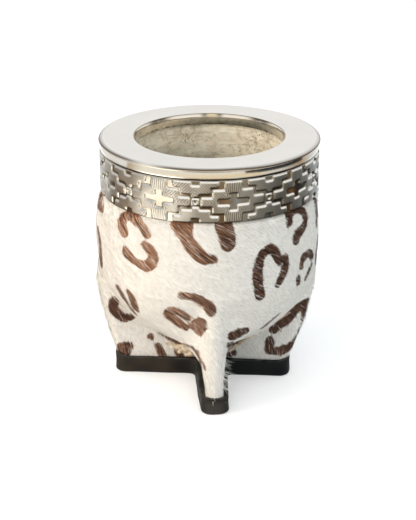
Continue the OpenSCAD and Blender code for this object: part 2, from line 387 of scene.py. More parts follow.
def even_points(points, count):
    """Points at even steps along a line, without its last one."""
    steps = np.linalg.norm(np.diff(points, axis=0), axis=1)
    along = np.concatenate([[0], np.cumsum(steps)])
    wanted = np.linspace(0, along[-1], count + 1)[:-1]
    return np.stack([np.interp(wanted, along, c) for c in points.T], -1)


SIDE_COLUMNS = 52


def hide_ring(z, inset, half=None):
    """A closed section at one height. A half width gives plain legs, as on the lining."""
    ring = []
    width = leg_half(z) - inset if half is None else half
    for i, leg in enumerate(LEGS):
        far = max(leg_reach(leg, z) - inset, 2 * width)
        for side, gap in ((-1, half_gap(i - 1)), (1, half_gap(i))):
            crease = crease_width(i, z, inset) if half is None else 0
            slim = width - (leg_trim(i, side, z) if half is None else 0)
            drawn = drawn_angle(i, side, z)
            angles, radii = leg_side(far, slim, gap, body(z, inset), crease, drawn)
            turn = math.radians(leg[0]) + side * angles
            line = np.stack([radii * np.cos(turn), radii * np.sin(turn)], -1)
            ring.append(even_points(line[::side], SIDE_COLUMNS))
    flat = np.concatenate(ring)
    return np.concatenate([flat, np.full((len(flat), 1), z)], 1)


# Rings of the hide: on the legs, round the belly, up the barrel and in the tuck under the band
FOOT_RINGS, BELLY_RINGS, BARREL_RINGS, TUCK_RINGS = 8, 84, 40, 3
BELLY_START = 4
TUCK_H = 2


def hide_heights():
    """Heights of the hide's rings, at about even steps along its surface."""
    foot = np.linspace(SOLE_T, BELLY_LOW, FOOT_RINGS + 1)[:-1]
    turn = np.radians(np.linspace(BELLY_START, 90, BELLY_RINGS))
    belly = BELLY_Z - (BELLY_Z - BELLY_LOW - NAP) * np.cos(turn) ** (2 / BELLY_POWER)
    wall = np.linspace(BELLY_Z, TUCK_Z, BARREL_RINGS + 1)[1:]
    tuck = np.linspace(TUCK_Z, BAND_LOW, TUCK_RINGS + 1)[1:]
    return np.concatenate([foot, belly, wall, tuck, [BAND_LOW + TUCK_H, HIDE_TOP]])


# Shift of the barrel along x, below zero to the left, and the heights over which it ends
LEAN = -0.6
LEAN_END = (TUCK_Z - 6, BAND_LOW)


def settle(points):
    """Moves the barrel a little to the left under the rim."""
    moved = points.copy()
    moved[..., 0] += LEAN * zone(points[..., 2], (SOLE_T, BELLY_Z), LEAN_END)
    return moved


# The knees are eased between these heights
EASE_FROM, EASE_TO = (24, 32), (44, 54)
EASE_PASSES = 34


def ease(points):
    """The skin with its knees eased. What that takes off is eased too and put back, to keep its size."""
    share = zone(points[..., 2], EASE_FROM, EASE_TO)[..., None]

    def blur(grid):
        for _ in range(EASE_PASSES):
            mean = grid.copy()
            mean[1:-1] = (grid[:-2] + 2 * grid[1:-1] + grid[2:]) / 4
            mean = (np.roll(mean, 1, 1) + 2 * mean + np.roll(mean, -1, 1)) / 4
            grid = grid + (mean - grid) * share
        return grid

    eased = blur(points)
    return eased + blur(points - eased)


# Unevenness of the skin, and where it starts over the sole and ends under the band
UNEVEN = 0.16
UNEVEN_FROM, UNEVEN_TO = (SOLE_T, SOLE_T + 4), (TUCK_Z - 3, TUCK_Z)


def hide_surface():
    """Points[row][column] of the hide's skin under the hair, with small unevenness."""
    points = ease(settle(np.array([hide_ring(z, NAP) for z in hide_heights()])))
    free = zone(points[..., 2], UNEVEN_FROM, UNEVEN_TO)
    bumps = UNEVEN * (wobble(points, 26, 3) + 0.5 * wobble(points, 11, 4))
    return points + grid_normals(points) * (bumps * free - wrinkle(points))[..., None]


# Ends and middle of a faint wrinkle above the front leg, in pixels of the photograph
WRINKLE_X, WRINKLE_Y = (176, 206, 237), (294, 293, 294)
WRINKLE_W = 0.9
WRINKLE_D = 0.22


def wrinkle(points):
    """Depth of the wrinkle at each place in front."""
    down, right = photo_place(points)
    ends = zone(right, WRINKLE_X[:2], WRINKLE_X[1:])
    off = (down - np.interp(right, WRINKLE_X, WRINKLE_Y)) * MM_PER_PIXEL
    return WRINKLE_D * bell(off, 0, WRINKLE_W) * ends * (points[..., 1] < 0)


# The hide's inside: half the width of its legs, its rings, and its clearance at the belly
LINING_HALF_W = 2.3
LINING_RINGS = 14
LINING_FIT = 0.4


def hide_lining():
    """Rings of the hide's inside, from the sole up."""
    belly = np.linspace(BELLY_LOW + HIDE_T + LINING_FIT, TUCK_Z, LINING_RINGS)
    return np.array([hide_ring(z, HIDE_T, LINING_HALF_W) for z in (SOLE_T, *belly, BAND_LOW, HIDE_TOP)])


# Spots of the hide


def photo_place(points):
    """Where places show in the photograph, as pixels down and to the right."""
    off = points - EYE
    ahead = off[..., 1] * math.cos(EYE_PITCH) - off[..., 2] * math.sin(EYE_PITCH)
    up = off[..., 1] * math.sin(EYE_PITCH) + off[..., 2] * math.cos(EYE_PITCH)
    return AXIS_Y - FOCAL_PX * up / ahead, AXIS_X + FOCAL_PX * off[..., 0] / ahead


def photo_rays(pixels):
    """Directions from the camera's eye through pixels of the photograph."""
    forward = np.array([0, math.cos(EYE_PITCH), -math.sin(EYE_PITCH)])
    up = np.array([0, math.sin(EYE_PITCH), math.cos(EYE_PITCH)])
    right = np.array([1.0, 0, 0])
    x = (pixels[:, 0] - AXIS_X) / FOCAL_PX
    y = (AXIS_Y - pixels[:, 1]) / FOCAL_PX
    return unit(forward + x[:, None] * right + y[:, None] * up)


def curve_through(points, steps=5):
    """A smooth line through a few points, each of which may carry a width."""
    p = np.array(points, float)
    if len(p) == 1:
        return p
    before = np.vstack([2 * p[0] - p[1], p[:-1]])
    after = np.vstack([p[1:], 2 * p[-1] - p[-2]])
    slope = (after - before) / 2
    line = []
    for a, b, sa, sb in zip(p[:-1], p[1:], slope[:-1], slope[1:]):
        for t in np.arange(steps) / steps:
            h = 2 * t**3 - 3 * t**2
            line.append(a * (1 + h) - b * h + sa * (t**3 - 2 * t**2 + t) + sb * (t**3 - t**2))
    return np.vstack([line, p[-1:]])


# Spots that the photograph shows: pixels along each stroke, with half the stroke's width
FRONT_SPOTS = {
    "left_arch": ((124, 232, 2.1), (122, 223, 2.2), (126, 216, 1.8), (133, 217, 1.6), (141, 225, 1.6),
                  (147, 234, 1.7)),
    "left_hook": ((126, 251, 1.9), (129, 256, 2.0), (135, 261, 1.2), (141, 265, 1.6), (147, 266, 2.1),
                  (153, 260, 2.1), (152, 252, 1.8), (145, 245, 1.5)),
    "middle_limb": ((182, 224, 4.2), (186, 237, 2.3), (193, 248, 2.5), (203, 258, 2.2), (213, 259, 1.5)),
    "middle_stub": ((224, 226, 3.2), (227, 237, 3.0), (228, 245, 2.4)),
    "right_hook": ((260, 296, 1.8), (258, 284, 1.8), (258, 268, 1.8), (261, 257, 1.7), (267, 250, 1.6),
                   (273, 250, 1.7), (277, 257, 1.6), (279, 262, 1.2)),
    "right_comma": ((285, 258, 1.5), (285, 267, 1.7), (282, 276, 1.6), (278, 284, 1.3)),
    "far_right_hook": ((301, 267, 1.1), (303, 258, 1.4), (309, 253, 1.3), (312, 257, 1.2)),
    "far_right_tail": ((311, 265, 1.0), (308, 272, 1.0), (305, 279, 0.7)),
    "far_right_dot": ((298, 278, 1.2), (298, 283, 1.2)),
    "top_right_arch": ((289, 223, 1.5), (289, 216, 1.6), (294, 210, 1.2), (303, 211, 1.2)),
    "top_right_limb": ((303, 211, 1.4), (305, 220, 1.6), (302, 229, 1.7), (297, 234, 2.1), (296, 240, 1.8)),
    "right_edge": ((315, 201, 1.5), (316, 212, 1.5), (316, 224, 1.2)),
    "left_edge_high": ((99, 198, 3.2), (101, 204, 2.8), (103, 209, 1.2)),
    "left_edge": ((98, 229, 1.2), (100, 240, 1.5), (101, 251, 1.5), (101, 261, 2.7)),
    "left_knee_bowl": ((115, 300, 1.7), (113, 307, 1.8), (118, 314, 1.8), (125, 318, 1.6), (132, 316, 1.3)),
    "left_knee_slit": ((119, 289, 1.8), (123, 296, 1.8), (128, 304, 0.9), (135, 313, 1.1)),
    "left_knee_bar": ((129, 292, 1.2), (133, 300, 1.8), (136, 309, 1.5)),
    "belly_arm": ((181, 296, 1.1), (191, 297, 1.3), (202, 301, 1.5), (209, 307, 2.0), (211, 312, 1.7)),
    "belly_ring": ((187, 318, 1.3), (180, 312, 1.9), (172, 311, 2.0), (168, 315, 1.6), (175, 320, 2.1),
                   (184, 327, 1.6)),
    "belly_dot": ((192, 326, 1.3), (199, 323, 1.9), (203, 324, 2.0), (199, 331, 1.9)),
    "left_seam_line": ((160, 333, 0.4), (174, 340, 0.9), (184, 344, 0.8), (194, 348, 0.4)),
    "left_foot_dot": ((121, 349, 2.1), (127, 346, 2.1), (125, 352, 2.0)),
    "left_foot_speck": ((151, 336, 1.1),),
    "left_foot_bar": ((158, 346, 1.3), (161, 352, 1.2), (165, 358, 1.3)),
    "left_foot_patch": ((177, 351, 1.0), (184, 358, 1.7)),
    "left_foot_edge": ((110, 328, 0.8), (111, 331, 0.6)),
    "front_foot_bar": ((201, 359, 0.4), (203, 364, 0.8), (205, 369, 0.4)),
    "right_root_dot": ((231, 336, 1.6), (238, 334, 2.7), (244, 332, 2.2)),
    "right_root_line": ((227, 345, 0.9), (234, 343, 1.0), (242, 339, 0.7)),
    "right_root_speck": ((229, 355, 1.2), (233, 352, 1.2)),
    "right_knee_bar": ((273, 330, 1.4), (281, 324, 1.5), (289, 317, 1.6), (297, 308, 1.6), (306, 302, 1.6)),
    "right_foot_bowl": ((305, 308, 1.3), (303, 318, 1.5), (299, 330, 1.6), (293, 342, 1.8), (286, 349, 1.9),
                        (277, 351, 1.5), (269, 349, 1.6), (270, 340, 1.6)),
    "right_seam_line": ((262, 328, 0.7), (269, 322, 1.0), (278, 314, 0.6)),
}
# Bare raw edges of the hide at the roots of the seams, in the same form
RAW_EDGES = {
    "left_root": ((167, 343, 0.7), (177, 347, 1.5), (187, 351, 2.0), (194, 355, 2.0)),
    "right_root": ((229, 351, 0.9), (236, 346, 0.8), (244, 340, 0.5), (253, 335, 0.7)),
}
# Spots on the sides that the photograph doesn't show: degrees round from the front, height, half width
BACK_SPOTS = (
    ((78, 76, 1.4), (84, 72, 1.6), (90, 75, 1.5), (93, 80, 1.3)),
    ((80, 63, 1.5), (77, 57, 1.5), (81, 52, 1.6), (88, 51, 1.5), (93, 55, 1.4)),
    ((92, 63, 1.5),),
    ((104, 66, 1.5), (101, 72, 1.6), (105, 78, 1.5), (112, 77, 1.5)),
    ((114, 70, 1.4), (113, 65, 1.3)),
    ((104, 45, 1.4), (110, 41, 1.6), (117, 43, 1.5), (120, 48, 1.4)),
    ((108, 55, 1.6), (113, 57, 1.4)),
    ((126, 60, 1.6), (124, 66, 1.6), (128, 71, 1.5), (135, 71, 1.4), (139, 66, 1.5)),
    ((132, 57, 1.4), (138, 57, 1.3)),
    ((130, 37, 1.3), (136, 34, 1.4), (142, 36, 1.3)),
    ((132, 47, 1.2), (137, 49, 1.5), (143, 47, 1.2)),
    ((150, 77, 1.8), (153, 71, 2.2), (158, 67, 1.8)),
    ((166, 79, 1.8), (167, 73, 1.6)),
    ((151, 55, 1.5), (148, 49, 1.5), (152, 43, 1.6), (159, 42, 1.4)),
    ((163, 52, 1.4), (162, 58, 1.4), (157, 60, 1.2)),
    ((172, 63, 1.5), (177, 67, 1.6), (183, 65, 1.5), (184, 59, 1.3)),
    ((173, 49, 1.3), (178, 46, 1.6), (184, 48, 1.3)),
    ((176, 36, 1.0), (178, 30, 1.3), (177, 24, 1.0)),
    ((182, 16, 1.0), (180, 12, 1.2)),
    ((190, 77, 1.5), (196, 75, 1.6), (200, 70, 1.5), (197, 65, 1.4)),
    ((193, 54, 1.6), (198, 57, 1.6), (204, 55, 1.5), (205, 49, 1.5), (200, 45, 1.4)),
    ((196, 37, 1.2), (203, 35, 1.5), (208, 38, 1.2)),
    ((210, 78, 1.2), (213, 73, 1.5)),
    ((214, 64, 1.5), (219, 67, 1.6), (225, 65, 1.5), (227, 59, 1.4)),
    ((217, 57, 1.3), (221, 54, 1.5)),
    ((217, 44, 1.3), (223, 41, 1.5), (229, 43, 1.3)),
    ((231, 78, 1.4), (236, 74, 1.7), (242, 76, 1.5), (244, 80, 1.2)),
    ((236, 62, 1.4), (235, 55, 1.6), (239, 50, 1.6), (246, 50, 1.4)),
    ((248, 61, 1.5), (247, 66, 1.5), (242, 68, 1.2)),
    ((238, 38, 1.2), (243, 35, 1.4), (249, 37, 1.2)),
    ((256, 78, 1.5), (258, 72, 1.7), (264, 70, 1.5)),
    ((256, 59, 1.5), (259, 53, 1.6), (257, 47, 1.5)),
    ((265, 62, 1.2), (268, 57, 1.4), (267, 51, 1.2)),
    ((100, 22, 1.6), (106, 20, 1.4)),
    ((95, 30, 1.4), (99, 27, 1.2)),
    ((165, 24, 1.3), (160, 19, 1.3)),
    ((196, 22, 1.4), (201, 18, 1.2)),
    ((258, 24, 1.6), (254, 19, 1.3)),
    ((263, 33, 1.3), (260, 29, 1.3)),
    ((12, 27, 1.2), (11, 20, 1.4), (13, 14, 1.4), (16, 13, 1.2)),
    ((-7, 25, 1.2), (-5, 18, 1.4), (-8, 13, 1.2)),
    ((96, 28, 1.2), (94, 20, 1.5), (96, 13, 1.4), (99, 12, 1.2)),
    ((171, 28, 1.2), (174, 20, 1.5), (172, 13, 1.4), (169, 12, 1.2)),
    ((193, 28, 1.2), (190, 20, 1.5), (192, 13, 1.4), (195, 12, 1.2)),
    ((257, 28, 1.2), (259, 20, 1.5), (257, 13, 1.4), (254, 12, 1.2)),
)


# Depth that spreads a spot's edge over its whole share
SPOT_SPAN = 4.0


class Strokes:
    """Lines that lie on the hide, each with half a width at every point."""

    def __init__(self, lines):
        self.lines = lines

    def depth(self, places):
        """How far each place lies inside the nearest stroke. Outside it is below zero."""
        best = np.full(len(places), -SPOT_SPAN)
        for line in self.lines:
            ends = line if len(line) > 1 else np.repeat(line, 2, 0)
            reach = line[:, 3].max() + SPOT_SPAN
            near = ((places > line[:, :3].min(0) - reach) & (places < line[:, :3].max(0) + reach)).all(1)
            here = places[near]
            for a, b in zip(ends[:-1], ends[1:]):
                way = b[:3] - a[:3]
                t = np.clip((here - a[:3]) @ way / max(way @ way, 1e-9), 0, 1)
                off = np.linalg.norm(here - a[:3] - t[:, None] * way, axis=1)
                best[near] = np.maximum(best[near], a[3] + (b[3] - a[3]) * t - off)
        return best


def spot_share(depth):
    """A depth inside the spots as a share, where a half is a spot's edge."""
    return np.clip(0.5 + depth / SPOT_SPAN, 0, 1)


def lay_stroke(tree, starts, ways, widths):
    """The part of a stroke that meets the hide, seen along the given ways."""
    found = []
    for start, way, width in zip(starts, ways, widths):
        place = tree.ray_cast(Vector(start), Vector(way))[0]
        if place is not None:
            found.append((*place, width))
    return [np.array(found)] if found else []


def lay_seen(tree, strokes):
    """Strokes of the photograph, laid on the hide."""
    lines = []
    for stroke in strokes.values():
        line = curve_through(stroke)
        starts = np.repeat(EYE[None], len(line), 0)
        lines += lay_stroke(tree, starts, photo_rays(line[:, :2]), line[:, 2])
    return lines


def lay_spots(tree):
    """All the spots, laid on the hide."""
    lines = lay_seen(tree, FRONT_SPOTS)
    for stroke in BACK_SPOTS:
        line = curve_through(stroke)
        turn = np.radians(line[:, 0] - 90)
        lines += lay_stroke(tree, around(2 * RIM_R, turn, line[:, 1]), -around(1, turn, 0.0), line[:, 2])
    return Strokes(lines)


# Seams beside the side legs: their heights, and half their width at top and bottom
SEAM_TOP = 37.0
RIGHT_SEAM_TOP = 30.0
SEAM_LOW = 16.5
SEAM_TOP_W = 0.12
SEAM_LOW_W = 1.9
SEAM_STEPS = 48


def seam_line(tree, i, side, top):
    """Places down the crease beside a leg, with the skin's normal there and half the seam's width."""
    line = []
    for z in np.linspace(top, SEAM_LOW, SEAM_STEPS):
        radius = body(z, NAP)
        half = leg_half(z) - NAP
        if half >= radius:
            break
        turn = math.radians(LEGS[i][0]) + side * math.asin(half / radius)
        reach = radius + crease_width(i, z, NAP) / 4
        guess = settle(np.array([reach * math.cos(turn), reach * math.sin(turn), z]))
        place, normal = tree.find_nearest(Vector(guess))[:2]
        fall = (top - z) / (top - SEAM_LOW)
        line.append((*place, SEAM_TOP_W + (SEAM_LOW_W - SEAM_TOP_W) * fall**2, *normal))
    return np.array(line)


# Materials


# Sockets of a mix node for colours
MIX_A, MIX_B, MIX_RESULT = 6, 7, 2


class Nodes:
    """The node tree of a material or world, and short ways to add nodes to it."""

    def __init__(self, owner):
        owner.use_nodes = True
        self.owner = owner
        self.tree = owner.node_tree

    def put(self, node, values):
        """Sets or links a node's inputs, by name or number."""
        for key, value in values.items():
            socket = node.inputs[key.replace("_", " ") if isinstance(key, str) else key]
            if isinstance(value, bpy.types.NodeSocket):
                self.tree.links.new(value, socket)
            else:
                socket.default_value = value

    def add(self, kind, inputs=None, output=0, **settings):
        """Adds a node and returns one of its outputs."""
        node = self.tree.nodes.new("ShaderNode" + kind)
        for key, value in settings.items():
            setattr(node, key, value)
        self.put(node, inputs or {})
        return node.outputs[output]

    def maths(self, operation, a, b=0.5):
        return self.add("Math", {0: a, 1: b}, operation=operation)

    def ramp(self, value, *stops):
        """A colour ramp from pairs of place and colour."""
        colour = self.add("ValToRGB", {"Fac": value}, "Color")
        marks = colour.node.color_ramp.elements
        while len(marks) < len(stops):
            marks.new(0.5)
        for mark, (at, tone) in zip(marks, stops):
            mark.position = at
            mark.color = (*tone, 1)
        return colour

    def close(self, kind, surface):
        """Ends the tree in an output."""
        self.put(self.tree.nodes.new("ShaderNodeOutput" + kind), {"Surface": surface})


class Shader(Nodes):
    """A node material with one Principled shader."""

    def __init__(self, name, **values):
        super().__init__(bpy.data.materials.new(name))
        self.main = self.tree.nodes["Principled BSDF"]
        self.put(self.main, values)

    def attribute(self, name):
        """A number stored with the points."""
        return self.add("Attribute", output="Fac", attribute_name=name)

    def stored(self, name, scale):
        """A vector stored with the points, stretched by a scale."""
        vector = self.add("Attribute", output="Vector", attribute_name=name)
        return self.add("Mapping", {"Vector": vector, "Scale": scale})

    def place(self):
        """Coordinates on the object in millimetres."""
        return self.add("Mapping", {"Vector": self.add("TexCoord", output="Object"), "Scale": [1 / MM] * 3})

    def noise(self, vector, scale, detail, rough):
        inputs = {"Vector": vector, "Scale": scale, "Detail": detail, "Roughness": rough}
        return self.add("TexNoise", inputs, "Fac")

    def mix(self, share, a, b, kind="MIX"):
        """Mixes two colours."""
        a, b = (c if isinstance(c, bpy.types.NodeSocket) else (*c, 1) for c in (a, b))
        inputs = {0: share, MIX_A: a, MIX_B: b}
        return self.add("Mix", inputs, MIX_RESULT, data_type="RGBA", blend_type=kind)

    def span(self, value, low, high, from_low=0.0, from_high=1.0):
        """Stretches a range of values over another one."""
        return self.add("MapRange", {"Value": value, 1: from_low, 2: from_high, 3: low, 4: high})

    def bump(self, height, distance, strength, normal=None):
        inputs = {"Height": height, "Distance": distance * MM, "Strength": strength}
        if normal is not None:
            inputs["Normal"] = normal
        return self.add("Bump", inputs)

    def set(self, **values):
        """Sets or links the shader's inputs and returns its material."""
        self.put(self.main, values)
        return self.owner


WHITE_HAIR = (0.86, 0.83, 0.78)
CREAM_HAIR = (0.79, 0.76, 0.705)
BROWN_HAIR = (0.03, 0.014, 0.009)
RUSSET_HAIR = (0.11, 0.048, 0.029)
LIT_SPOT_HAIR = (0.39, 0.18, 0.088)


def hair_material():
    """Short cow hair: each strand has its own tone, the dye follows the spots, and the brown spots get
    painted light on the upper left.
    """
    s = Shader("cow_hair", Roughness=0.5, Specular_IOR_Level=0.15)
    tone = s.attribute("tone")
    white = s.ramp(tone, (0.05, CREAM_HAIR), (0.4, WHITE_HAIR), (1.0, (0.91, 0.89, 0.855)))
    deep = s.ramp(tone, (0.25, BROWN_HAIR), (0.65, RUSSET_HAIR), (0.95, (0.28, 0.16, 0.105)))
    pale = s.ramp(tone, (0.29, (0.06, 0.024, 0.012)), (0.53, LIT_SPOT_HAIR), (0.79, (0.74, 0.5, 0.36)))
    brown = s.mix(s.attribute("painted_spot_light"), deep, pale)
    dyed = s.span(s.attribute("spot"), 0.0, 1.0, 0.47, 0.53)
    # Each strand is darker towards its root: painted shade among the hair
    root = s.span(s.attribute("along"), 0.66, 1.0, 0.0, 0.6)
    shade = s.mix(1.0, s.mix(dyed, white, brown), root, "MULTIPLY")
    return s.set(Base_Color=shade)


def skin_material():
    """The hide under the hair: the same two colours and the same painted light on the spots, with streaks
    that run along the hair.
    """
    s = Shader("hide_skin", Roughness=0.62, Specular_IOR_Level=0.25)
    streak = s.noise(s.stored("flow", (3.2, 0.35, 1.0)), 1.0, 3.0, 0.6)
    white = s.ramp(streak, (0.25, (0.66, 0.61, 0.54)), (0.6, WHITE_HAIR))
    deep = s.ramp(streak, (0.25, BROWN_HAIR), (0.75, RUSSET_HAIR))
    pale = s.ramp(streak, (0.25, RUSSET_HAIR), (0.7, LIT_SPOT_HAIR))
    brown = s.mix(s.attribute("painted_spot_light"), deep, pale)
    edge = s.maths("ADD", s.attribute("spot"), s.span(streak, -0.06, 0.06, 0.2, 0.8))
    share = s.span(edge, 0.0, 1.0, 0.46, 0.54)
    raw = s.ramp(streak, (0.25, (0.3, 0.17, 0.09)), (0.5, (0.6, 0.44, 0.28)), (0.75, (0.78, 0.66, 0.5)))
    bare = s.span(s.attribute("raw"), 0.0, 1.0, 0.46, 0.54)
    colour = s.mix(bare, s.mix(share, white, brown), raw)
    return s.set(Base_Color=colour, Normal=s.bump(streak, 0.25, 0.6))


def seam_material():
    """The cut edges of the hide at a seam: cream leather either side of a gap, whose shade is painted nearly
    black.
    """
    s = Shader("raw_hide_edge", Roughness=0.75, Specular_IOR_Level=0.2)
    grain = s.noise(s.place(), 0.7, 4.0, 0.5)
    edge = s.ramp(grain, (0.3, (0.5, 0.36, 0.24)), (0.5, (0.7, 0.57, 0.42)), (0.7, (0.82, 0.73, 0.59)))
    colour = s.mix(s.attribute("painted_shade"), edge, (0.035, 0.024, 0.018))
    return s.set(Base_Color=colour, Normal=s.bump(grain, 0.15, 0.7))


SILVER = (0.79, 0.765, 0.72)


def rim_material():
    """Nickel silver: a satin flat top with faint turning lines, and polished rounds with painted dark and
    golden reflections.
    """
    s = Shader("polished_silver", Metallic=1.0)
    lines = s.noise(s.stored("turned", (0.02, 6.0, 1.0)), 1.0, 4.0, 0.6)
    smear = s.noise(s.place(), 0.06, 3.0, 0.5)
    clean = s.ramp(smear, (0.25, (0.745, 0.725, 0.685)), (0.75, SILVER))
    # Painted golden reflection, then painted dark reflection with darker patches at the throat's foot
    warm = s.mix(s.attribute("painted_gold_reflection"), clean, (0.78, 0.66, 0.43))
    colour = s.mix(s.attribute("painted_dark_reflection_and_foot_patches"), warm, (0.085, 0.06, 0.036))
    satin = s.span(s.attribute("satin"), 0.05, 0.2)
    rough = s.maths("ADD", satin, s.span(lines, 0.0, 0.06, 0.3, 0.7))
    return s.set(Base_Color=colour, Roughness=rough, Normal=s.bump(lines, 0.012, 0.3))


HATCH_PITCH = 0.72


def band_material():
    """Chiselled nickel silver: hatched tiles with painted highlights on their upper edges and painted shade
    under them, and painted brown and grey reflection tints in places.
    """
    s = Shader("chiselled_silver", Metallic=1.0)
    raised = s.span(s.attribute("raised"), 0.0, 1.0, 0.35, 0.85)
    phase = s.maths("MULTIPLY", s.attribute("hatch"), 2 * math.pi / HATCH_PITCH)
    stain = s.noise(s.place(), 0.16, 4.0, 0.6)
    grit = s.noise(s.place(), 1.6, 4.0, 0.65)
    wave = s.maths("SINE", s.maths("ADD", phase, s.span(grit, -1.6, 1.6)))
    face = s.ramp(stain, (0.3, (0.48, 0.465, 0.43)), (0.65, (0.64, 0.625, 0.58)))
    # Painted brown and grey reflection tints on the tile faces
    browned = s.mix(s.attribute("brown"), face, (0.26, 0.19, 0.125))
    greyed = s.mix(s.attribute("grey"), browned, (0.27, 0.305, 0.31))
    cut = s.mix(s.span(wave, 0.0, 0.85, -0.1, 0.9), greyed, (0.12, 0.1, 0.075))
    floor = s.ramp(stain, (0.3, (0.3, 0.27, 0.22)), (0.65, (0.42, 0.4, 0.36)))
    colour = s.mix(raised, floor, cut)
    # Painted highlights on the upper edges, then painted shade under the tiles
    lit = s.mix(s.attribute("bright"), colour, (0.91, 0.885, 0.83))
    painted_light_and_wear = s.mix(s.attribute("dark"), lit, (0.06, 0.045, 0.03))
    rough = s.maths("ADD", s.span(raised, 0.1, 0.4), s.span(grit, -0.04, 0.06, 0.3, 0.7))
    hatch = s.maths("MULTIPLY", wave, raised)
    normal = s.bump(hatch, 0.05, 0.55, s.bump(grit, 0.03, 0.4))
    return s.set(Base_Color=painted_light_and_wear, Roughness=rough, Normal=normal)


def sole_material():
    """Black sole leather with a fine grain, with painted warm light on the left and in front, and paler
    edges: painted highlights on the top edge and the toe, and wear on the lower edge.
    """
    s = Shader("black_leather", Specular_IOR_Level=0.12)
    grain = s.add("TexVoronoi", {"Vector": s.place(), "Scale": 1.9}, "Distance")
    fine = s.noise(s.place(), 3.0, 5.0, 0.65)
    cloud = s.noise(s.place(), 0.12, 3.0, 0.5)
    clean = s.ramp(cloud, (0.3, (0.003, 0.0045, 0.005)), (0.7, (0.007, 0.008, 0.008)))
    base = s.mix(s.attribute("painted_warm_light"), clean, (0.028, 0.022, 0.015))
    specks = s.mix(s.span(fine, 0.0, 0.5, 0.66, 0.8), base, (0.06, 0.056, 0.05))
    colour = s.mix(s.attribute("painted_light_and_wear"), specks, (0.085, 0.08, 0.073))
    rough = s.span(fine, 0.48, 0.68, 0.3, 0.7)
    normal = s.bump(grain, 0.12, 0.4, s.bump(fine, 0.08, 0.5))
    return s.set(Base_Color=colour, Roughness=rough, Normal=normal)


def gourd_material():
    """The inside of a dried gourd: beige pith with specks and scrapes, with painted shade: greyer deep down
    on the left, and browner just under the lip.
    """
    s = Shader("gourd_shell", Roughness=0.78, Specular_IOR_Level=0.2)
    arcs = s.noise(s.stored("turned", (0.1, 0.9, 1.0)), 1.0, 6.0, 0.75)
    mottle = s.noise(s.place(), 0.22, 6.0, 0.7)
    crowd = s.noise(s.place(), 0.07, 2.0, 0.5)
    specks = s.maths("ADD", s.noise(s.place(), 1.5, 4.0, 0.6), s.span(crowd, -0.09, 0.09, 0.3, 0.7))
    base = s.ramp(mottle, (0.32, (0.54, 0.465, 0.345)), (0.5, (0.93, 0.82, 0.64)), (0.66, (0.99, 0.94, 0.79)))
    scraped = s.mix(s.span(arcs, 0.0, 0.75, 0.5, 0.7), base, (0.36, 0.3, 0.21))
    dotted = s.mix(s.span(specks, 0.0, 0.85, 0.63, 0.74), scraped, (0.09, 0.065, 0.04))
    deeper = s.mix(s.attribute("deep"), dotted, (0.24, 0.26, 0.215))
    colour = s.mix(s.attribute("throat"), deeper, (0.3, 0.215, 0.135))
    normal = s.bump(s.maths("ADD", arcs, specks), 0.35, 0.6)
    return s.set(Base_Color=colour, Normal=normal)


def core_material():
    """Vegetable-tanned leather of the hidden stiffeners."""
    s = Shader("core_leather", Roughness=0.7)
    grain = s.noise(s.place(), 0.8, 5.0, 0.6)
    colour = s.ramp(grain, (0.3, (0.2, 0.1, 0.045)), (0.7, (0.36, 0.2, 0.1)))
    return s.set(Base_Color=colour, Normal=s.bump(grain, 0.2, 0.6))


# Pieces


RIM_COLUMNS = 288
# Painted dark and golden reflections on the rim, in degrees. A tilt is 0 on a wall and 90 on the top, and a
# turn is 0 in front
BEAD_TILT, BEAD_TILT_W = 50, 26
RIGHT_FROM, RIGHT_TO = (10, 35), (75, 95)
RIGHT_TILT, RIGHT_TILT_W = 25, 38
# Where a painted highlight takes the place of the bead's painted dark reflection: turn, width and share
BRIGHT_TURN, BRIGHT_TURN_W, BRIGHT_SHARE = -33, 9, 0.9
LIP_TILTS, LIP_TILT_W, LIP_LINE = (54, 26), 18, 0.8
# Where dark painted reflections come back in each quarter turn of the lip: a wide one, and a pair beside a
# golden one
WIDE_AT, WIDE_W = 42, 8
GOLD_AT, GOLD_W = 2, 5
PAIR_OFF, PAIR_W, PAIR_SHARE = 6, 2.5, 0.8
# Painted golden reflection on the lip away from its golden places, its tilts there, and painted golden
# reflection on the bead
GOLD_LEAST, GOLD_TILT = 0.25, (4, 14)
BEAD_GOLD, BEAD_GOLD_TILT = 0.6, (10, 40)
# Satin between the lip and the bead, and darker patches at the foot of the throat
SATIN_FROM, SATIN_TO = (LIP_AT[0] - 0.3, LIP_AT[0] + 0.3), (BEAD_AT[0] - 0.8, BEAD_AT[0] + 0.3)
SATIN_Z = (TOP_Z - 0.3, TOP_Z - 0.15)
FOOT_PATCH_Z = (THROAT_LOW + 0.1, THROAT_LOW + 0.8)


def add_turned(ob, points):
    """Stores how far round and how far along its profile each point of a turned piece lies."""
    steps = np.linalg.norm(np.diff(points[:, 0], axis=0), axis=1)
    along = np.concatenate([[0], np.cumsum(steps)])[:, None]
    turn = np.arctan2(points[..., 1], points[..., 0]) * RIM_R
    add_vectors(ob, "turned", np.stack(np.broadcast_arrays(turn, along, 0.0), -1))


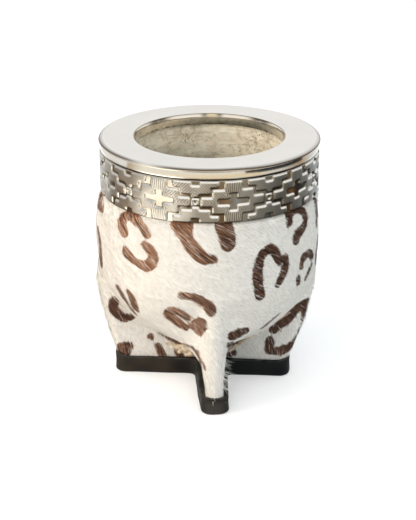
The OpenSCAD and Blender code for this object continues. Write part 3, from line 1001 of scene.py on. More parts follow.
def rim_profile():
    """Section of the rim: up the throat, over the lip and the top, round the bead and back inside."""
    under = (MOUTH_R + LIP_R, TOP_Z - LIP_R)
    flat_w = BEAD_AT[0] - under[0]
    wall_h = TOP_Z - LIP_ROUND * (1 - math.sin(LIP_TILT)) - THROAT_LOW
    wall = np.linspace(0, 1, 25)
    profile = [(MOUTH_R + THROAT_FLARE * t**THROAT_CURL, THROAT_LOW + wall_h * t) for t in wall]
    profile += arc(LIP_AT, LIP_ROUND, 180 - math.degrees(LIP_TILT), 90, 10)[1:]
    top = np.linspace(0, 1, 15)[:-1]
    profile += [(under[0] + flat_w * t, TOP_Z - DISH * math.sin(math.pi * t)) for t in top]
    for t in np.radians(np.linspace(90, -90, 25)):
        drop = BEAD_R if t > 0 else BEAD_LOW
        profile.append((BEAD_AT[0] + BEAD_WIDE * math.cos(t), BEAD_AT[1] + drop * math.sin(t)))
    profile += [(BEAD_AT[0], TOP_Z - PLATE_T - BEAD_STEP), (BEAD_AT[0] - BEAD_NECK, TOP_Z - PLATE_T)]
    profile += arc(under, LIP_R - PLATE_T, 90, 180, 6)
    return [*profile, (MOUTH_R + PLATE_T, THROAT_LOW)]


def rim_satin_and_painted_reflections(points):
    """Where the rim is satin, where it has painted dark and golden reflections, and darker patches at the
    foot of the throat. Its normals face into the metal.
    """
    x, y, z = np.moveaxis(points, -1, 0)
    radius = np.hypot(x, y)
    on_bead = radius > BEAD_AT[0] + 0.1
    on_lip = radius < LIP_AT[0] - 0.05
    tilt = np.degrees(np.arcsin(np.clip(-grid_normals(points)[..., 2], -1, 1)))
    satin = zone(radius, SATIN_FROM, SATIN_TO) * smooth_step(z, *SATIN_Z)
    turn = np.degrees(np.arctan2(x, -y))
    right = zone(turn, RIGHT_FROM, RIGHT_TO)
    middle = BEAD_TILT + (RIGHT_TILT - BEAD_TILT) * right
    width = BEAD_TILT_W + (RIGHT_TILT_W - BEAD_TILT_W) * right
    outer = bell(tilt, middle, width) * on_bead
    outer = outer * (1 - BRIGHT_SHARE * bell(turn, BRIGHT_TURN, BRIGHT_TURN_W))
    quarter = (np.degrees(np.arctan2(x, y)) + 45) % 90 - 45
    patches = bell(np.abs(quarter), WIDE_AT, WIDE_W)
    patches += PAIR_SHARE * bell(np.abs(quarter - GOLD_AT), PAIR_OFF, PAIR_W)
    steep, low = (bell(tilt, middle, LIP_TILT_W) for middle in LIP_TILTS)
    foot_patches = np.clip(0.3 + 0.9 * wobble(points, 4, 45), 0, 0.9)
    foot_patches = foot_patches * (1 - smooth_step(z, *FOOT_PATCH_Z))
    inner = np.clip(LIP_LINE * steep + patches * low + foot_patches, 0, 1) * on_lip
    painted_gold_reflection = GOLD_LEAST + (1 - GOLD_LEAST) * bell(quarter, GOLD_AT, GOLD_W)
    painted_gold_reflection = painted_gold_reflection * smooth_step(tilt, *GOLD_TILT) * on_lip
    painted_gold_reflection += BEAD_GOLD * (1 - smooth_step(tilt, *BEAD_GOLD_TILT)) * on_bead
    return {"satin": satin, "painted_dark_reflection_and_foot_patches": outer + inner, "painted_gold_reflection": painted_gold_reflection}


def make_rim():
    """The spun rim: a slightly dished flat top, a bead outside and a rolled lip at the mouth."""
    points = lathe(rim_profile(), RIM_COLUMNS)
    ob = grid_object("rim_ring", points, loop_rows=True, floats=rim_satin_and_painted_reflections(points))
    add_turned(ob, points)
    dress(ob, rim_material(), "rim_metal", "rim_plate")


def make_collar():
    """The collar under the plate, with its plain rounded strip and the groove below it."""
    sleeve = STRIP_R - COLLAR_OUT
    inside = sleeve - COLLAR_T
    low = STRIP_TOP - STRIP_H + STRIP_UP
    top = TOP_Z - BEAD_R - BEAD_LOW
    profile = [(inside, COLLAR_LOW), *[(sleeve, z) for z in np.linspace(COLLAR_LOW, low, 5)]]
    profile += arc((STRIP_R - STRIP_ROUND, low + STRIP_ROUND), STRIP_ROUND, -90, 4, 6)
    profile += arc((STRIP_R - STRIP_LEAN - STRIP_ROUND, top - STRIP_ROUND), STRIP_ROUND, 8, 90, 6)
    points = lathe([*profile, (inside, top)], RIM_COLUMNS)
    satin = np.full(points.shape[:2], COLLAR_SATIN)
    ob = grid_object("collar_strip", points, loop_rows=True, floats={"satin": satin})
    add_turned(ob, points)
    dress(ob, rim_material(), "collar_metal", "collar_ring")


# Right halves of the outlines in one motif, in columns from its middle and rows from the band's middle
EDGE_ROW = PATTERN_ROWS / 2
PYRAMID = (
    (0.52, 1.5), (0.52, 2.5), (2.35, 2.5), (2.35, 4.6), (3.65, 4.6), (3.65, EDGE_ROW), (0.7, EDGE_ROW),
    (0.7, 5.2),
)
RING = ((0.52, 0.95), (0.52, -0.95))
RING_HOLE = ((0.25, 0.5), (0.25, -0.5))
# Upper right quarters of the flower's outline and of the star in its middle
FLOWER = ((1.4, EDGE_ROW), (1.4, 3.7), (3.25, 3.7), (3.25, 1.4), (5.1, 1.4))
STAR = ((0.75, 2.8), (0.5, 1.25), (0.85, 0.95), (2.5, 0.95))


def both_sides(half):
    """A right half's outline with its mirror image on the left."""
    return np.array([*half, *[(-x, y) for x, y in reversed(half)]])


def whole_quarter(quarter):
    """A quarter's outline closed just past both middle lines."""
    return np.array([(-0.1, quarter[0][1]), *quarter, (quarter[-1][0], -0.1), (-0.1, -0.1)])


def inside_outline(x, y, outline):
    """Which places lie inside a closed outline."""
    inside = np.zeros(x.shape, bool)
    for (x1, y1), (x2, y2) in zip(outline, np.roll(outline, -1, 0)):
        if y1 != y2:
            crosses = ((y1 > y) != (y2 > y)) & (x < (x2 - x1) * (y - y1) / (y2 - y1) + x1)
            inside ^= crosses
    return inside


def softened(mask, passes):
    """A mask blurred a little, which rounds its corners. It repeats round its columns."""
    for _ in range(passes):
        mask = (np.roll(mask, 1, 1) + 2 * mask + np.roll(mask, -1, 1)) / 4
        padded = np.vstack([mask[:1], mask, mask[-1:]])
        mask = (padded[:-2] + 2 * padded[1:-1] + padded[2:]) / 4
    return mask


MOTIF_STEPS = 126
BAND_STEPS = 70
# Passes that round the corners of tiles and rings, and that give the tiles their swell
TILE_BLUR, RING_BLUR, SWELL_BLUR = 5, 2, 24
# Blurred shares between which the edges of tiles and rings rise
TILE_EDGE, RING_EDGE = (0.28, 0.9), (0.22, 0.7)
# Height of the swell and of small dents, and how far the floor and the hems lie behind the relief
SWELL, DENT = 0.1, 0.04
FLOOR_SINK, HEM_SINK = 0.1, 0.1
HEM_ROUND = 0.25
# Slopes of the hatching across and up, and its fan in the flower's upright arms: half width and spread
HATCH_X, HATCH_Y = 0.55, 0.6
FAN_HALF_W, FAN_CLOSE, FAN_OPEN = 1.3, 0.75, 0.1
# How much closer the repeats are in front than on average, in radians
CROWD = 0.045
# Where the undersides get painted highlights instead of painted shade, in radians round from the front
UNDERSIDE_LIT_FROM = (-0.95, -0.7)
UNDERSIDE_LIT_TO = (-0.45, -0.15)
# Where the tiles get a painted brown reflection tint, and where a painted grey one, in the same form
BROWN_FROM = (-1.15, -0.95)
BROWN_TO = (-0.8, -0.6)
GREY_FROM = (0.1, 0.7)
GREY_TO = (1.5, 2.2)
REFLECTION_TINT = 0.65
# Where the painted highlights on the edges begin, coming from the left, and their share before that and on
# tiles with the painted grey tint
BRIGHT_FROM = (-0.95, -0.55)
LEFT_BRIGHT = 0.3
GREY_BRIGHT = 0.75
# How strongly the slopes of the tiles bring painted highlights and painted shade onto the metal
BRIGHT_UP, BRIGHT_ACROSS, BRIGHT_UNDERSIDE = 1.5, 0.6, 1.3
DARK_UP, DARKEST = 1.2, 0.9


def band_pattern(height):
    """Raised share, swell and hatching of one repeat, over its columns and the given heights."""
    columns = (np.arange(MOTIF_STEPS) / MOTIF_STEPS - 0.5) * PATTERN_COLUMNS
    row_h = (BAND_TOP - BAND_LOW - 2 * HEM_H) / PATTERN_ROWS
    column_w = 2 * math.pi * FACE_R / REPEATS / PATTERN_COLUMNS
    rows = (height - (BAND_TOP + BAND_LOW) / 2) / row_h
    x, y = np.meshgrid(columns, rows)
    fx = (x + PATTERN_COLUMNS) % PATTERN_COLUMNS - PATTERN_COLUMNS / 2
    pyramid = both_sides(PYRAMID)
    cross = inside_outline(x, y, pyramid) | inside_outline(x, -y, pyramid)
    ring = inside_outline(x, y, both_sides(RING)) & ~inside_outline(x, y, both_sides(RING_HOLE))
    flower = inside_outline(np.abs(fx), np.abs(y), whole_quarter(FLOWER))
    star = inside_outline(np.abs(fx), np.abs(y), whole_quarter(STAR))
    tiles = (cross | (flower & ~star)).astype(float)
    raised = smooth_step(softened(tiles, TILE_BLUR), *TILE_EDGE)
    raised = np.maximum(raised, smooth_step(softened(ring.astype(float), RING_BLUR), *RING_EDGE))
    fan = fx * column_w / (FAN_CLOSE + FAN_OPEN * np.abs(y))
    petal = fx * column_w * HATCH_X - np.sign(fx * y) * y * row_h * HATCH_Y
    step = np.abs(x) * column_w * HATCH_X + np.abs(y) * row_h * HATCH_Y
    hatch = np.where(flower, np.where(np.abs(fx) < FAN_HALF_W, fan, petal), step)
    return raised, softened(tiles, SWELL_BLUR), hatch


def band_looks(raised, turn, z):
    """Shares of painted highlights and painted shade on the tiles' edges, and of painted brown and grey
    reflection tints on the band.
    """
    up = np.gradient(raised, z[:, 0], axis=0)
    across = np.gradient(raised, 2 * math.pi * FACE_R / raised.shape[1], axis=1)
    front = (turn + math.pi / 2 + math.pi) % (2 * math.pi) - math.pi
    lit_under = zone(front, UNDERSIDE_LIT_FROM, UNDERSIDE_LIT_TO)
    grey = zone(front, GREY_FROM, GREY_TO)
    inner = (z > BAND_LOW + HEM_H) & (z < BAND_TOP - HEM_H)
    calm = LEFT_BRIGHT + (1 - LEFT_BRIGHT) * smooth_step(front, *BRIGHT_FROM)
    calm = calm * (1 + (GREY_BRIGHT - 1) * grey)
    # Painted highlights on upper and right slopes, painted shade on the undersides, and painted highlights on
    # the undersides where they are lit
    lit = -BRIGHT_UP * up - BRIGHT_ACROSS * across + BRIGHT_UNDERSIDE * lit_under * up
    return {
        "bright": np.clip(lit, 0, 1) * inner * calm,
        "dark": np.clip(DARK_UP * (1 - lit_under) * up, 0, DARKEST) * inner,
        "brown": REFLECTION_TINT * zone(front, BROWN_FROM, BROWN_TO),
        "grey": REFLECTION_TINT * grey,
    }


def make_band():
    """The chiselled band: bevelled tiles that stand out of a thin sheet."""
    height = np.linspace(BAND_LOW, BAND_TOP, BAND_STEPS)
    raised, swell, hatch = (np.tile(layer, REPEATS) for layer in band_pattern(height))
    columns = raised.shape[1]
    start = CROSS_TURN - math.pi / 2 - math.pi / REPEATS
    even = start + np.arange(columns) * 2 * math.pi / columns
    turn, z = np.meshgrid(even - CROWD * np.cos(even), height)
    floor_r = FACE_R - RELIEF - FLOOR_SINK
    crown = SWELL * (swell - 1) + DENT * wobble(around(FACE_R, turn, z), 8, 11)
    r = floor_r + (FACE_R - floor_r + crown) * raised
    hem = smooth_step(np.minimum(z - BAND_LOW, BAND_TOP - z), 0.0, HEM_ROUND)
    r = floor_r - HEM_SINK + (r - floor_r + HEM_SINK) * hem
    back = FACE_R - RELIEF - SHEET_T
    inside = [around(back, turn[0], level) for level in np.linspace(BAND_TOP, BAND_LOW, 3)]
    points = np.concatenate([around(r, turn, z), inside])
    spare = np.zeros((len(inside), columns))
    floats = {"raised": raised, "hatch": hatch, **band_looks(raised, turn, z)}
    floats = {key: np.concatenate([layer, spare]) for key, layer in floats.items()}
    ob = grid_object("chiselled_band", points, loop_rows=True, floats=floats)
    dress(ob, band_material(), "band_metal", "embossed_band")


# Lean of the hair to the right of straight down, in degrees: on the legs, and how much more above them
LEG_LEAN, MORE_LEAN = 14, 40
LEAN_Z = (14, 46)
FLOW_TURN = 4


def hair_lean(z):
    """How far the hair leans to the right of straight down at a height, in radians."""
    return np.radians(LEG_LEAN + MORE_LEAN * smooth_step(z, *LEAN_Z))


def hair_flow(places, normals, stray=0.0):
    """The way that the hair lies: down and to the right, and nearly straight down on the legs."""
    side = unit(np.cross(np.array([0, 0, 1.0]), normals))
    down = -np.cross(normals, side)
    lean = hair_lean(places[:, 2]) + np.radians(FLOW_TURN * wobble(places, 38, 21) + stray)
    return np.sin(lean)[:, None] * side + np.cos(lean)[:, None] * down


# Locks of hair: lanes round the hide, length, shift from lane to lane, and how they draw their numbers
LOCK_LANES = 800
LOCK_L = 3.0
LOCK_SHIFT = 0.618
LOCKS = 20011
LANE_PRIME, BLOCK_PRIME = 7919, 104729


def lock_values(root, rng):
    """Two random numbers for each lock of hair. Strands that lie in one short lane share them."""
    heights = np.linspace(0, TOP_Z, 200)
    drift = np.concatenate([[0], np.cumsum(np.tan(hair_lean(heights))[1:] * np.diff(heights))])
    turn = np.arctan2(root[:, 0], -root[:, 1]) + np.interp(root[:, 2], heights, drift) / BARREL_R
    lane = np.floor(turn / (2 * math.pi) * LOCK_LANES).astype(int) % LOCK_LANES
    block = np.floor(root[:, 2] / LOCK_L + LOCK_SHIFT * lane).astype(int)
    return rng.random((2, LOCKS))[:, (lane * LANE_PRIME + block * BLOCK_PRIME) % LOCKS]


class Coat:
    """Random places on the hide's skin, with all that a strand needs to know about them."""

    def __init__(self, surface, normals, count, rng):
        rows, columns = surface.shape[0] - 3, surface.shape[1]
        on = np.roll(surface, -1, 1)
        spans = on[1 : rows + 1] - surface[:rows], surface[1 : rows + 1] - on[:rows]
        area = np.linalg.norm(np.cross(*spans), axis=-1).ravel()
        picked = rng.choice(len(area), count, p=area / area.sum())
        i, k = np.unravel_index(picked, (rows, columns))
        u, v = rng.random((2, count))
        self.cells = i, k, (k + 1) % columns, u[:, None], v[:, None]
        self.root = self.between(surface)
        self.out = unit(self.between(normals))
        self.spot = np.stack([(k + u) / columns, (i + v) / surface.shape[0]], -1)

    def between(self, grid):
        """Values of a grid at the places."""
        i, k, on, u, v = self.cells
        low = grid[i, k] * (1 - u) + grid[i, on] * u
        high = grid[i + 1, k] * (1 - u) + grid[i + 1, on] * u
        return low * (1 - v) + high * v


# Painted light on the brown spots, which makes them lighter and more orange: most above, less below, and
# least of that at the far left
SPOT_LIGHT_MOST, SPOT_LIGHT_LOW, SPOT_LIGHT_LEFT = 0.95, 0.54, 0.6
SPOT_LIGHT_Z = (42, 80)
SPOT_LIGHT_HIGH_X, SPOT_LIGHT_LOW_X, SPOT_LIGHT_LEFT_X = (-20, 20), (-10, 8), (-38, -24)
SPOT_LIGHT_Y = (-20, 10)


def painted_spot_light_share(points):
    """How much painted light lightens the brown spots: most on the upper left of the front, less at its foot.
    """
    x, y, z = points.T
    high = smooth_step(z, *SPOT_LIGHT_Z)
    upper = high * (1 - smooth_step(x, *SPOT_LIGHT_HIGH_X))
    left = SPOT_LIGHT_LEFT + (1 - SPOT_LIGHT_LEFT) * smooth_step(x, *SPOT_LIGHT_LEFT_X)
    lower = SPOT_LIGHT_LOW * (1 - high) * left * (1 - smooth_step(x, *SPOT_LIGHT_LOW_X))
    return SPOT_LIGHT_MOST * (upper + lower) * (1 - smooth_step(y, *SPOT_LIGHT_Y))


# One strand: two points at its root, two half-way and one at its tip, as a quad and a triangle
STRAND_POINTS = 5
STRAND_MAP = (0.0004, 0.001)
STRAND_CORNERS = np.array([(0, 0), (1, 0), (1, 2), (0, 2), (0, 2), (1, 2), (0.5, 4)]) * STRAND_MAP
MAP_SHARE = 0.99
MIDDLE_W = 0.9


def strand_object(name, root, middle, tip, side, map_spot, spots, tone, jitter):
    """A mesh of many strands. Each of their points takes its dye from where it lies."""
    parts = [root - side, root + side, middle + MIDDLE_W * side, middle - MIDDLE_W * side, tip]
    points = np.stack(parts, 1).reshape(-1, 3)
    count = len(root)
    first = STRAND_POINTS * np.arange(count)
    faces = np.stack([first, first + 1, first + 2, first + 3, first + 3, first + 2, first + 4], 1)
    faces = [face for f in faces.tolist() for face in (f[:4], f[4:])]
    depths = [spots.depth(places) + jitter for places in (root, middle, tip)]
    floats = {
        "spot": spot_share(np.stack([depths[0]] * 2 + [depths[1]] * 2 + [depths[2]], 1)).ravel(),
        "tone": np.repeat(tone, STRAND_POINTS),
        "painted_spot_light": painted_spot_light_share(points),
        "along": np.tile([0.0, 0.0, 0.5, 0.5, 1.0], count),
    }
    corners = (map_spot[:, None, :] * MAP_SHARE + STRAND_CORNERS[None]).reshape(-1, 2)
    dress(new_object(name, points, faces, corners, floats), hair_material(), "hide")


STRANDS = 64000
STRAND_L, STRAND_W = 4.2, 0.16
LENGTHS, WIDTHS = (0.6, 1.25), (0.6, 1.3)
# Height of a strand's middle over the skin, and of its tip as a share of that
LIFTS, DROOPS = (0.1, 0.36), (0.4, 1.1)
# Turn of a lock and of a strand in it, in degrees, and the lock's share in the strand's tone
LOCK_TURN, STRAND_TURN = 9, 2
LOCK_TONE = 0.75
# Ragged edges of the spots: how far they spread, and unevenness of patches, locks and strands
SPREAD = 0.45
RAGGED_PATCH, RAGGED_LOCK, RAGGED_STRAND = 0.28, 0.8, 0.15
# White strands among the brown: their share, and their width as a share of the others
WHITE_STRAYS = 0.045
STRAY_THIN = 0.7
# Length of a strand that would lie over a seam, as a share of the others, and its distance from one
SHORT = 0.4
SEAM_FIT = 0.3
# How deep in a seam a root may lie, and in a raw edge a middle. Lowest tip, and distance from the band
ROOT_DEPTH, RAW_DEPTH = 0.1, 0.2
TIP_LOW = 1.0
ROOT_FIT = 0.4


def make_hair(coat, spots, seams, raw, rng):
    """Short strands all over the hide, combed along its flow and parted at the seams."""
    root, out = coat.root, coat.out
    count = len(root)
    lock, turned = lock_values(root, rng)
    way = hair_flow(root, out, LOCK_TURN * (turned - 0.5) + rng.normal(0, STRAND_TURN, count))
    length = (STRAND_L * rng.uniform(*LENGTHS, count))[:, None]
    width = (STRAND_W * rng.uniform(*WIDTHS, count))[:, None] / 2
    lift = rng.uniform(*LIFTS, count)[:, None]
    droop = rng.uniform(*DROOPS, count)[:, None]
    reaches = [root + way * length * share for share in (0.75, 1.0)]
    blocked = np.max([seams.depth(places) for places in reaches], axis=0) > -SEAM_FIT
    length = np.where(blocked[:, None], SHORT, 1.0) * length
    middle = root + way * length * 0.5 + out * lift
    tip = root + way * length + out * lift * droop
    tone = LOCK_TONE * lock + (1 - LOCK_TONE) * rng.random(count)
    stray = rng.random(count) < WHITE_STRAYS
    width = np.where(stray[:, None], STRAY_THIN, 1.0) * width
    ragged = SPREAD + RAGGED_PATCH * wobble(root, 3.5, 22) + RAGGED_LOCK * (lock - 0.5)
    jitter = np.where(stray, -SPOT_SPAN, ragged + rng.normal(0, RAGGED_STRAND, count))
    clear = (seams.depth(root) < ROOT_DEPTH) & (seams.depth(middle) < 0) & (raw.depth(middle) < RAW_DEPTH)
    keep = clear & (tip[:, 2] > TIP_LOW) & (root[:, 2] < BAND_LOW - ROOT_FIT)
    chosen = [layer[keep] for layer in (root, middle, tip, np.cross(way, out) * width, coat.spot)]
    strand_object("hide_hair", *chosen, spots, tone[keep], jitter[keep])


# Loose hairs: chance of one at the toe, on the front leg's right flank and at the parting of a seam
WISP_CHANCE = (0.9, 0.5, 0.3)
FLANK_Y, FLANK_Z, FLANK_OUT = -20, 17, 0.6
TOE_Y, TOE_Z = -38, SOLE_T + 2.5
PARTING_LOW, PARTING_HIGH, PARTING_Z, PARTING_X = -1.6, 0.3, 30, 26
WISP_W = 0.14
# How far they stand up, their lengths and their curl
FLANK_STAND, WISP_STAND = (0.8, 2.5), (0.15, 0.6)
TOE_WISP_L, WISP_L = (1.5, 4.2), (3.5, 7.0)
FLANK_CURL, WISP_CURL = 0.2, -0.4
WISP_TURN = 8
WISP_LIFT = 0.2
WISP_TONES = (0.3, 1.0)
WISP_PLACES = STRANDS // 4


def make_wisps(coat, spots, seams, rng):
    """Longer loose hairs: out from the front leg, over its toe and across the seams at their roots."""
    root, out = coat.root, coat.out
    x, y, z = root.T
    depth = seams.depth(root)
    flank = (y < FLANK_Y) & (z < FLANK_Z) & (out[:, 0] > FLANK_OUT)
    toe = (z < TOE_Z) & (y < TOE_Y)
    parting = (depth > PARTING_LOW) & (depth < PARTING_HIGH) & (z < PARTING_Z) & (np.abs(x) < PARTING_X)
    keep = rng.random(len(root)) < np.select([toe, flank, parting], WISP_CHANCE)
    root, out, flank, toe = root[keep], out[keep], (flank & ~toe)[keep], toe[keep]
    count = len(root)
    stand = np.where(flank, rng.uniform(*FLANK_STAND, count), rng.uniform(*WISP_STAND, count))
    length = np.where(toe, rng.uniform(*TOE_WISP_L, count), rng.uniform(*WISP_L, count))[:, None]
    way = unit(hair_flow(root, out, rng.normal(0, WISP_TURN, count)) + out * stand[:, None])
    middle = root + way * length * 0.5 + out * WISP_LIFT
    bend = np.array([0.0, 0.0, 1.0]) * np.where(flank, FLANK_CURL, WISP_CURL)[:, None]
    tip = middle + unit(way + bend) * length * 0.5
    tip[:, 2] = np.maximum(tip[:, 2], TIP_LOW)
    side = unit(np.cross(way, out)) * WISP_W / 2
    tone = rng.uniform(*WISP_TONES, count)
    strand_object("hide_wisps", root, middle, tip, side, coat.spot[keep], spots, tone, np.zeros(count))


# Sections of ridges on the hide: across in half widths, up from the skin, and share of painted shade
SEAM_SECTION = (
    (-1.0, -0.3, 0), (1.0, -0.3, 0), (0.85, 0.2, 0), (0.5, 0.38, 0), (0.14, 0.0, 1), (-0.14, 0.0, 1),
    (-0.5, 0.38, 0), (-0.85, 0.2, 0),
)
RAW_SECTION = (
    (-1.0, -0.3, 0), (1.0, -0.3, 0), *[(a, 0.4 * (1 - a**4), 0) for a in np.linspace(0.9, -0.9, 13)],
)
CRUMPLE = 0.32
RAGGED_EDGE = 0.3
# How much painted shade a crumpled ridge gets where it sinks, and how far it sinks before that
SUNK_DARK, SUNK_FROM = 0.45, 0.1


def make_ridge(name, line, section, crumple=0.0):
    """A low ridge along a line on the hide. It may be crumpled, and gets painted shade where it sinks."""
    place, half, out = line[:, :3], line[:, 3:4], unit(line[:, 4:])
    across = unit(np.cross(unit(np.gradient(place, axis=0)), out))
    half = half * (1 + RAGGED_EDGE * wobble(place, 4, 51))[:, None]
    points = np.stack([place + across * half * a + out * up for a, up, _ in section], 1)
    fold = wobble(points, 3.2, 61) + 0.4 * wobble(points, 1.5, 62)
    _, up, dark = np.array(section).T
    points = points + out[:, None] * (crumple * fold * (up > 0))[..., None]
    sunk = np.clip(-SUNK_DARK * fold - SUNK_FROM, 0, 1) * (crumple > 0)
    floats = {"painted_shade": np.clip(dark + sunk, 0, 1)}
    ob = new_object(name, points.reshape(-1, 3), capped_faces(*points.shape[:2]), None, floats)
    dress(ob, seam_material(), "hide")


RAW_STEPS = 8
# Seams: the leg beside them and its side, and their top
SEAMS = {
    "seam_right_front": (1, -1, RIGHT_SEAM_TOP),
    "seam_right_back": (1, 1, SEAM_TOP),
    "seam_left_back": (3, -1, SEAM_TOP),
    "seam_left_front": (3, 1, SEAM_TOP),
}
SKIN_LEAN = math.radians(52)
HAIR_SEED = 7


def raw_line(tree, stroke):
    """Places along a raw edge, with half its width and the skin's normal there."""
    line = []
    for x, y, half in curve_through(stroke, RAW_STEPS):
        place, normal = tree.ray_cast(Vector(EYE), Vector(photo_rays(np.array([[x, y]]))[0]))[:2]
        line.append((*place, half, *normal))
    return np.array(line)


def add_flow(ob, points):
    """Stores how far across and along the hair each point of the skin lies."""
    turn = np.arctan2(points[:, 0], -points[:, 1]) * BARREL_R
    across = turn * math.cos(SKIN_LEAN) + points[:, 2] * math.sin(SKIN_LEAN)
    along = turn * math.sin(SKIN_LEAN) - points[:, 2] * math.cos(SKIN_LEAN)
    add_vectors(ob, "flow", np.stack([across, along, np.zeros(len(points))], -1))


def make_hide():
    """The hide as a closed skin, with its spots, seams and hair."""
    surface = hide_surface()
    faces, _ = grid_faces(*surface.shape[:2])
    tree = BVHTree.FromPolygons(surface.reshape(-1, 3).tolist(), faces.tolist())
    spots = lay_spots(tree)
    raw = Strokes(lay_seen(tree, RAW_EDGES))
    points = np.concatenate([surface, hide_lining()[::-1]])
    flat = points.reshape(-1, 3)
    floats = {
        "spot": spot_share(spots.depth(flat) + SPREAD),
        "painted_spot_light": painted_spot_light_share(flat),
        "raw": spot_share(raw.depth(flat)),
    }
    ob = grid_object("hide_skin", points, loop_rows=True, floats=floats)
    add_flow(ob, flat)
    dress(ob, skin_material(), "hide", "hide_cover")
    lines = {name: seam_line(tree, *place) for name, place in SEAMS.items()}
    for name, line in lines.items():
        make_ridge(name, line, SEAM_SECTION)
    for name, stroke in RAW_EDGES.items():
        make_ridge("raw_edge_" + name, raw_line(tree, stroke), RAW_SECTION, CRUMPLE)
    seams = Strokes([line[:, :4] for line in lines.values()])
    normals = grid_normals(surface)
    rng = np.random.default_rng(HAIR_SEED)
    make_hair(Coat(surface, normals, STRANDS, rng), spots, seams, raw, rng)
    make_wisps(Coat(surface, normals, WISP_PLACES, rng), spots, seams, rng)


SOLE_COLUMNS = 420
CORNER_STEPS = 9


def aim(degrees):
    """A flat direction of length one."""
    return np.array([math.cos(math.radians(degrees)), math.sin(math.radians(degrees))])


def sole_outline():
    """Outline of the sole at even steps: rounded toes, leaning flanks and hollow corners."""
    flat = TOE_W / 2 - TOE_R
    points = []
    for i, leg in enumerate(LEGS):
        after = LEGS[(i + 1) % len(LEGS)]
        turn = leg[0]
        hub = leg[1] + TOE_OUT - TOE_R
        lean = math.degrees(math.atan((ROOT_W - TOE_W) / 2 / hub))
        for side in (-1, 1):
            centre = hub * aim(turn) + side * flat * aim(turn + 90)
            start = lean - 90 if side < 0 else 0
            round_toe = np.linspace(0, 90 - lean, CORNER_STEPS)
            points += [centre + TOE_R * aim(turn + start + t) for t in round_toe]
        next_hub = after[1] + TOE_OUT - TOE_R
        next_lean = math.degrees(math.atan((ROOT_W - TOE_W) / 2 / next_hub))
        normals = turn + 90 - lean, after[0] - 90 + next_lean
        offs = [
            h * math.sin(math.radians(s)) + flat * math.cos(math.radians(s)) + TOE_R + CROTCH_R
            for h, s in ((hub, lean), (next_hub, next_lean))
        ]
        centre = np.linalg.solve(np.array([aim(n) for n in normals]), np.array(offs))
        sweep = (normals[1] - normals[0]) % 360 - 360
        points += [centre - CROTCH_R * aim(normals[0] + sweep * t) for t in np.linspace(0, 1, CORNER_STEPS)]
    return even_points(np.array([*points, points[0]]), SOLE_COLUMNS)


# Section of the sole's edge: radii below and on top, where its flat faces start, and paleness at its points:
# painted highlight on the top edge, wear on the lower edge
SOLE_LOW_R, SOLE_TOP_R = 0.9, 0.6
SOLE_FACE_IN = 4.0
SOLE_EDGE_LIGHT_AND_WEAR = (0, 0.5, 0.6, 0.3, 0, 0, 0, 0.05, 0.3, 0.7, 0.35, 0.1, 0)
TOE_TURN_L = 7
TURN_UP_IN = 1.5
SOLE_UNEVEN = 0.08
# Where the front toe gets a painted sheen, and where painted warm light lies to the left and in front
TOE_SHEEN_Y = (-46, -42)
WARM_LIGHT_X, WARM_LIGHT_Y = (-24, 4), (-42, -34)


def sole_profile():
    """Section of the sole's edge, as places in from its outline and up."""
    low = arc((SOLE_LOW_R, SOLE_LOW_R), SOLE_LOW_R, -90, -180, 3)
    wall = [(0.1, SOLE_T * 0.35), (0.16, SOLE_T * 0.6)]
    top = arc((SOLE_TOP_R, SOLE_T - SOLE_TOP_R), SOLE_TOP_R, 180, 90, 3)
    face = [(1.4, SOLE_T - 0.05), (SOLE_FACE_IN, SOLE_T - 0.1)]
    return [(SOLE_FACE_IN, 0.0), *low, *wall, *top, *face]


def sole_painted_light_and_wear(points, columns):
    """Where the sole is paler at its edges and toe, from painted highlights and wear, and where painted warm
    light lies.
    """
    x, y, z = points.T
    painted_light_and_wear = np.repeat(SOLE_EDGE_LIGHT_AND_WEAR, columns) * (0.6 + 0.4 * wobble(points, 5, 32))
    painted_light_and_wear += 0.5 * (1 - smooth_step(y, *TOE_SHEEN_Y)) * (z < SOLE_T - 0.5)
    painted_warm_light = 1 - smooth_step(x, *WARM_LIGHT_X) * (0.5 + 0.5 * smooth_step(y, *WARM_LIGHT_Y))
    painted_warm_light = painted_warm_light * (0.75 + 0.25 * wobble(points, 7, 33))
    return {"painted_light_and_wear": np.clip(painted_light_and_wear, 0, 1), "painted_warm_light": np.clip(painted_warm_light, 0, 1)}


def make_sole():
    """The sole: thick leather with rounded edges, turned up a little at its toes."""
    line = sole_outline()
    tangent = unit(np.roll(line, -1, 0) - np.roll(line, 1, 0))
    inward = np.column_stack([-tangent[:, 1], tangent[:, 0], np.zeros(len(line))])
    base = np.column_stack([line, np.zeros(len(line))])
    profile = sole_profile()
    points = np.array([base + inward * inset + (0, 0, z) for inset, z in profile])
    lift = np.zeros(len(line))
    for leg, most in zip(LEGS, TOE_LIFT):
        toe = leg[1] + TOE_OUT
        lift = np.maximum(lift, most * smooth_step(line @ aim(leg[0]), toe - TOE_TURN_L, toe))
    rise = smooth_step(points[..., 2], SOLE_T * 0.5, SOLE_T)
    points[..., 2] += lift * rise * np.array([[inset < TURN_UP_IN] for inset, _ in profile])
    points += (SOLE_UNEVEN * wobble(points, 9, 31))[..., None] * inward
    flat = points.reshape(-1, 3)
    floats = sole_painted_light_and_wear(flat, len(line))
    ob = new_object("cross_shaped_sole", flat, capped_faces(*points.shape[:2]), None, floats)
    dress(ob, sole_material(), "sole_leather", "cross_sole")


GOURD_COLUMNS = 192
GOURD_POLE = 0.4
# Painted shade with some stain: brown at the throat just under the lip, and greyness deep down, which lies
# higher on the left where the wall is in shade
THROAT_BROWN = (GOURD_TOP - 6, GOURD_TOP - 2)
DEEP_GREY = 0.75
DEEP_Z = (72, 90)
DEEP_LEFT = 0.32


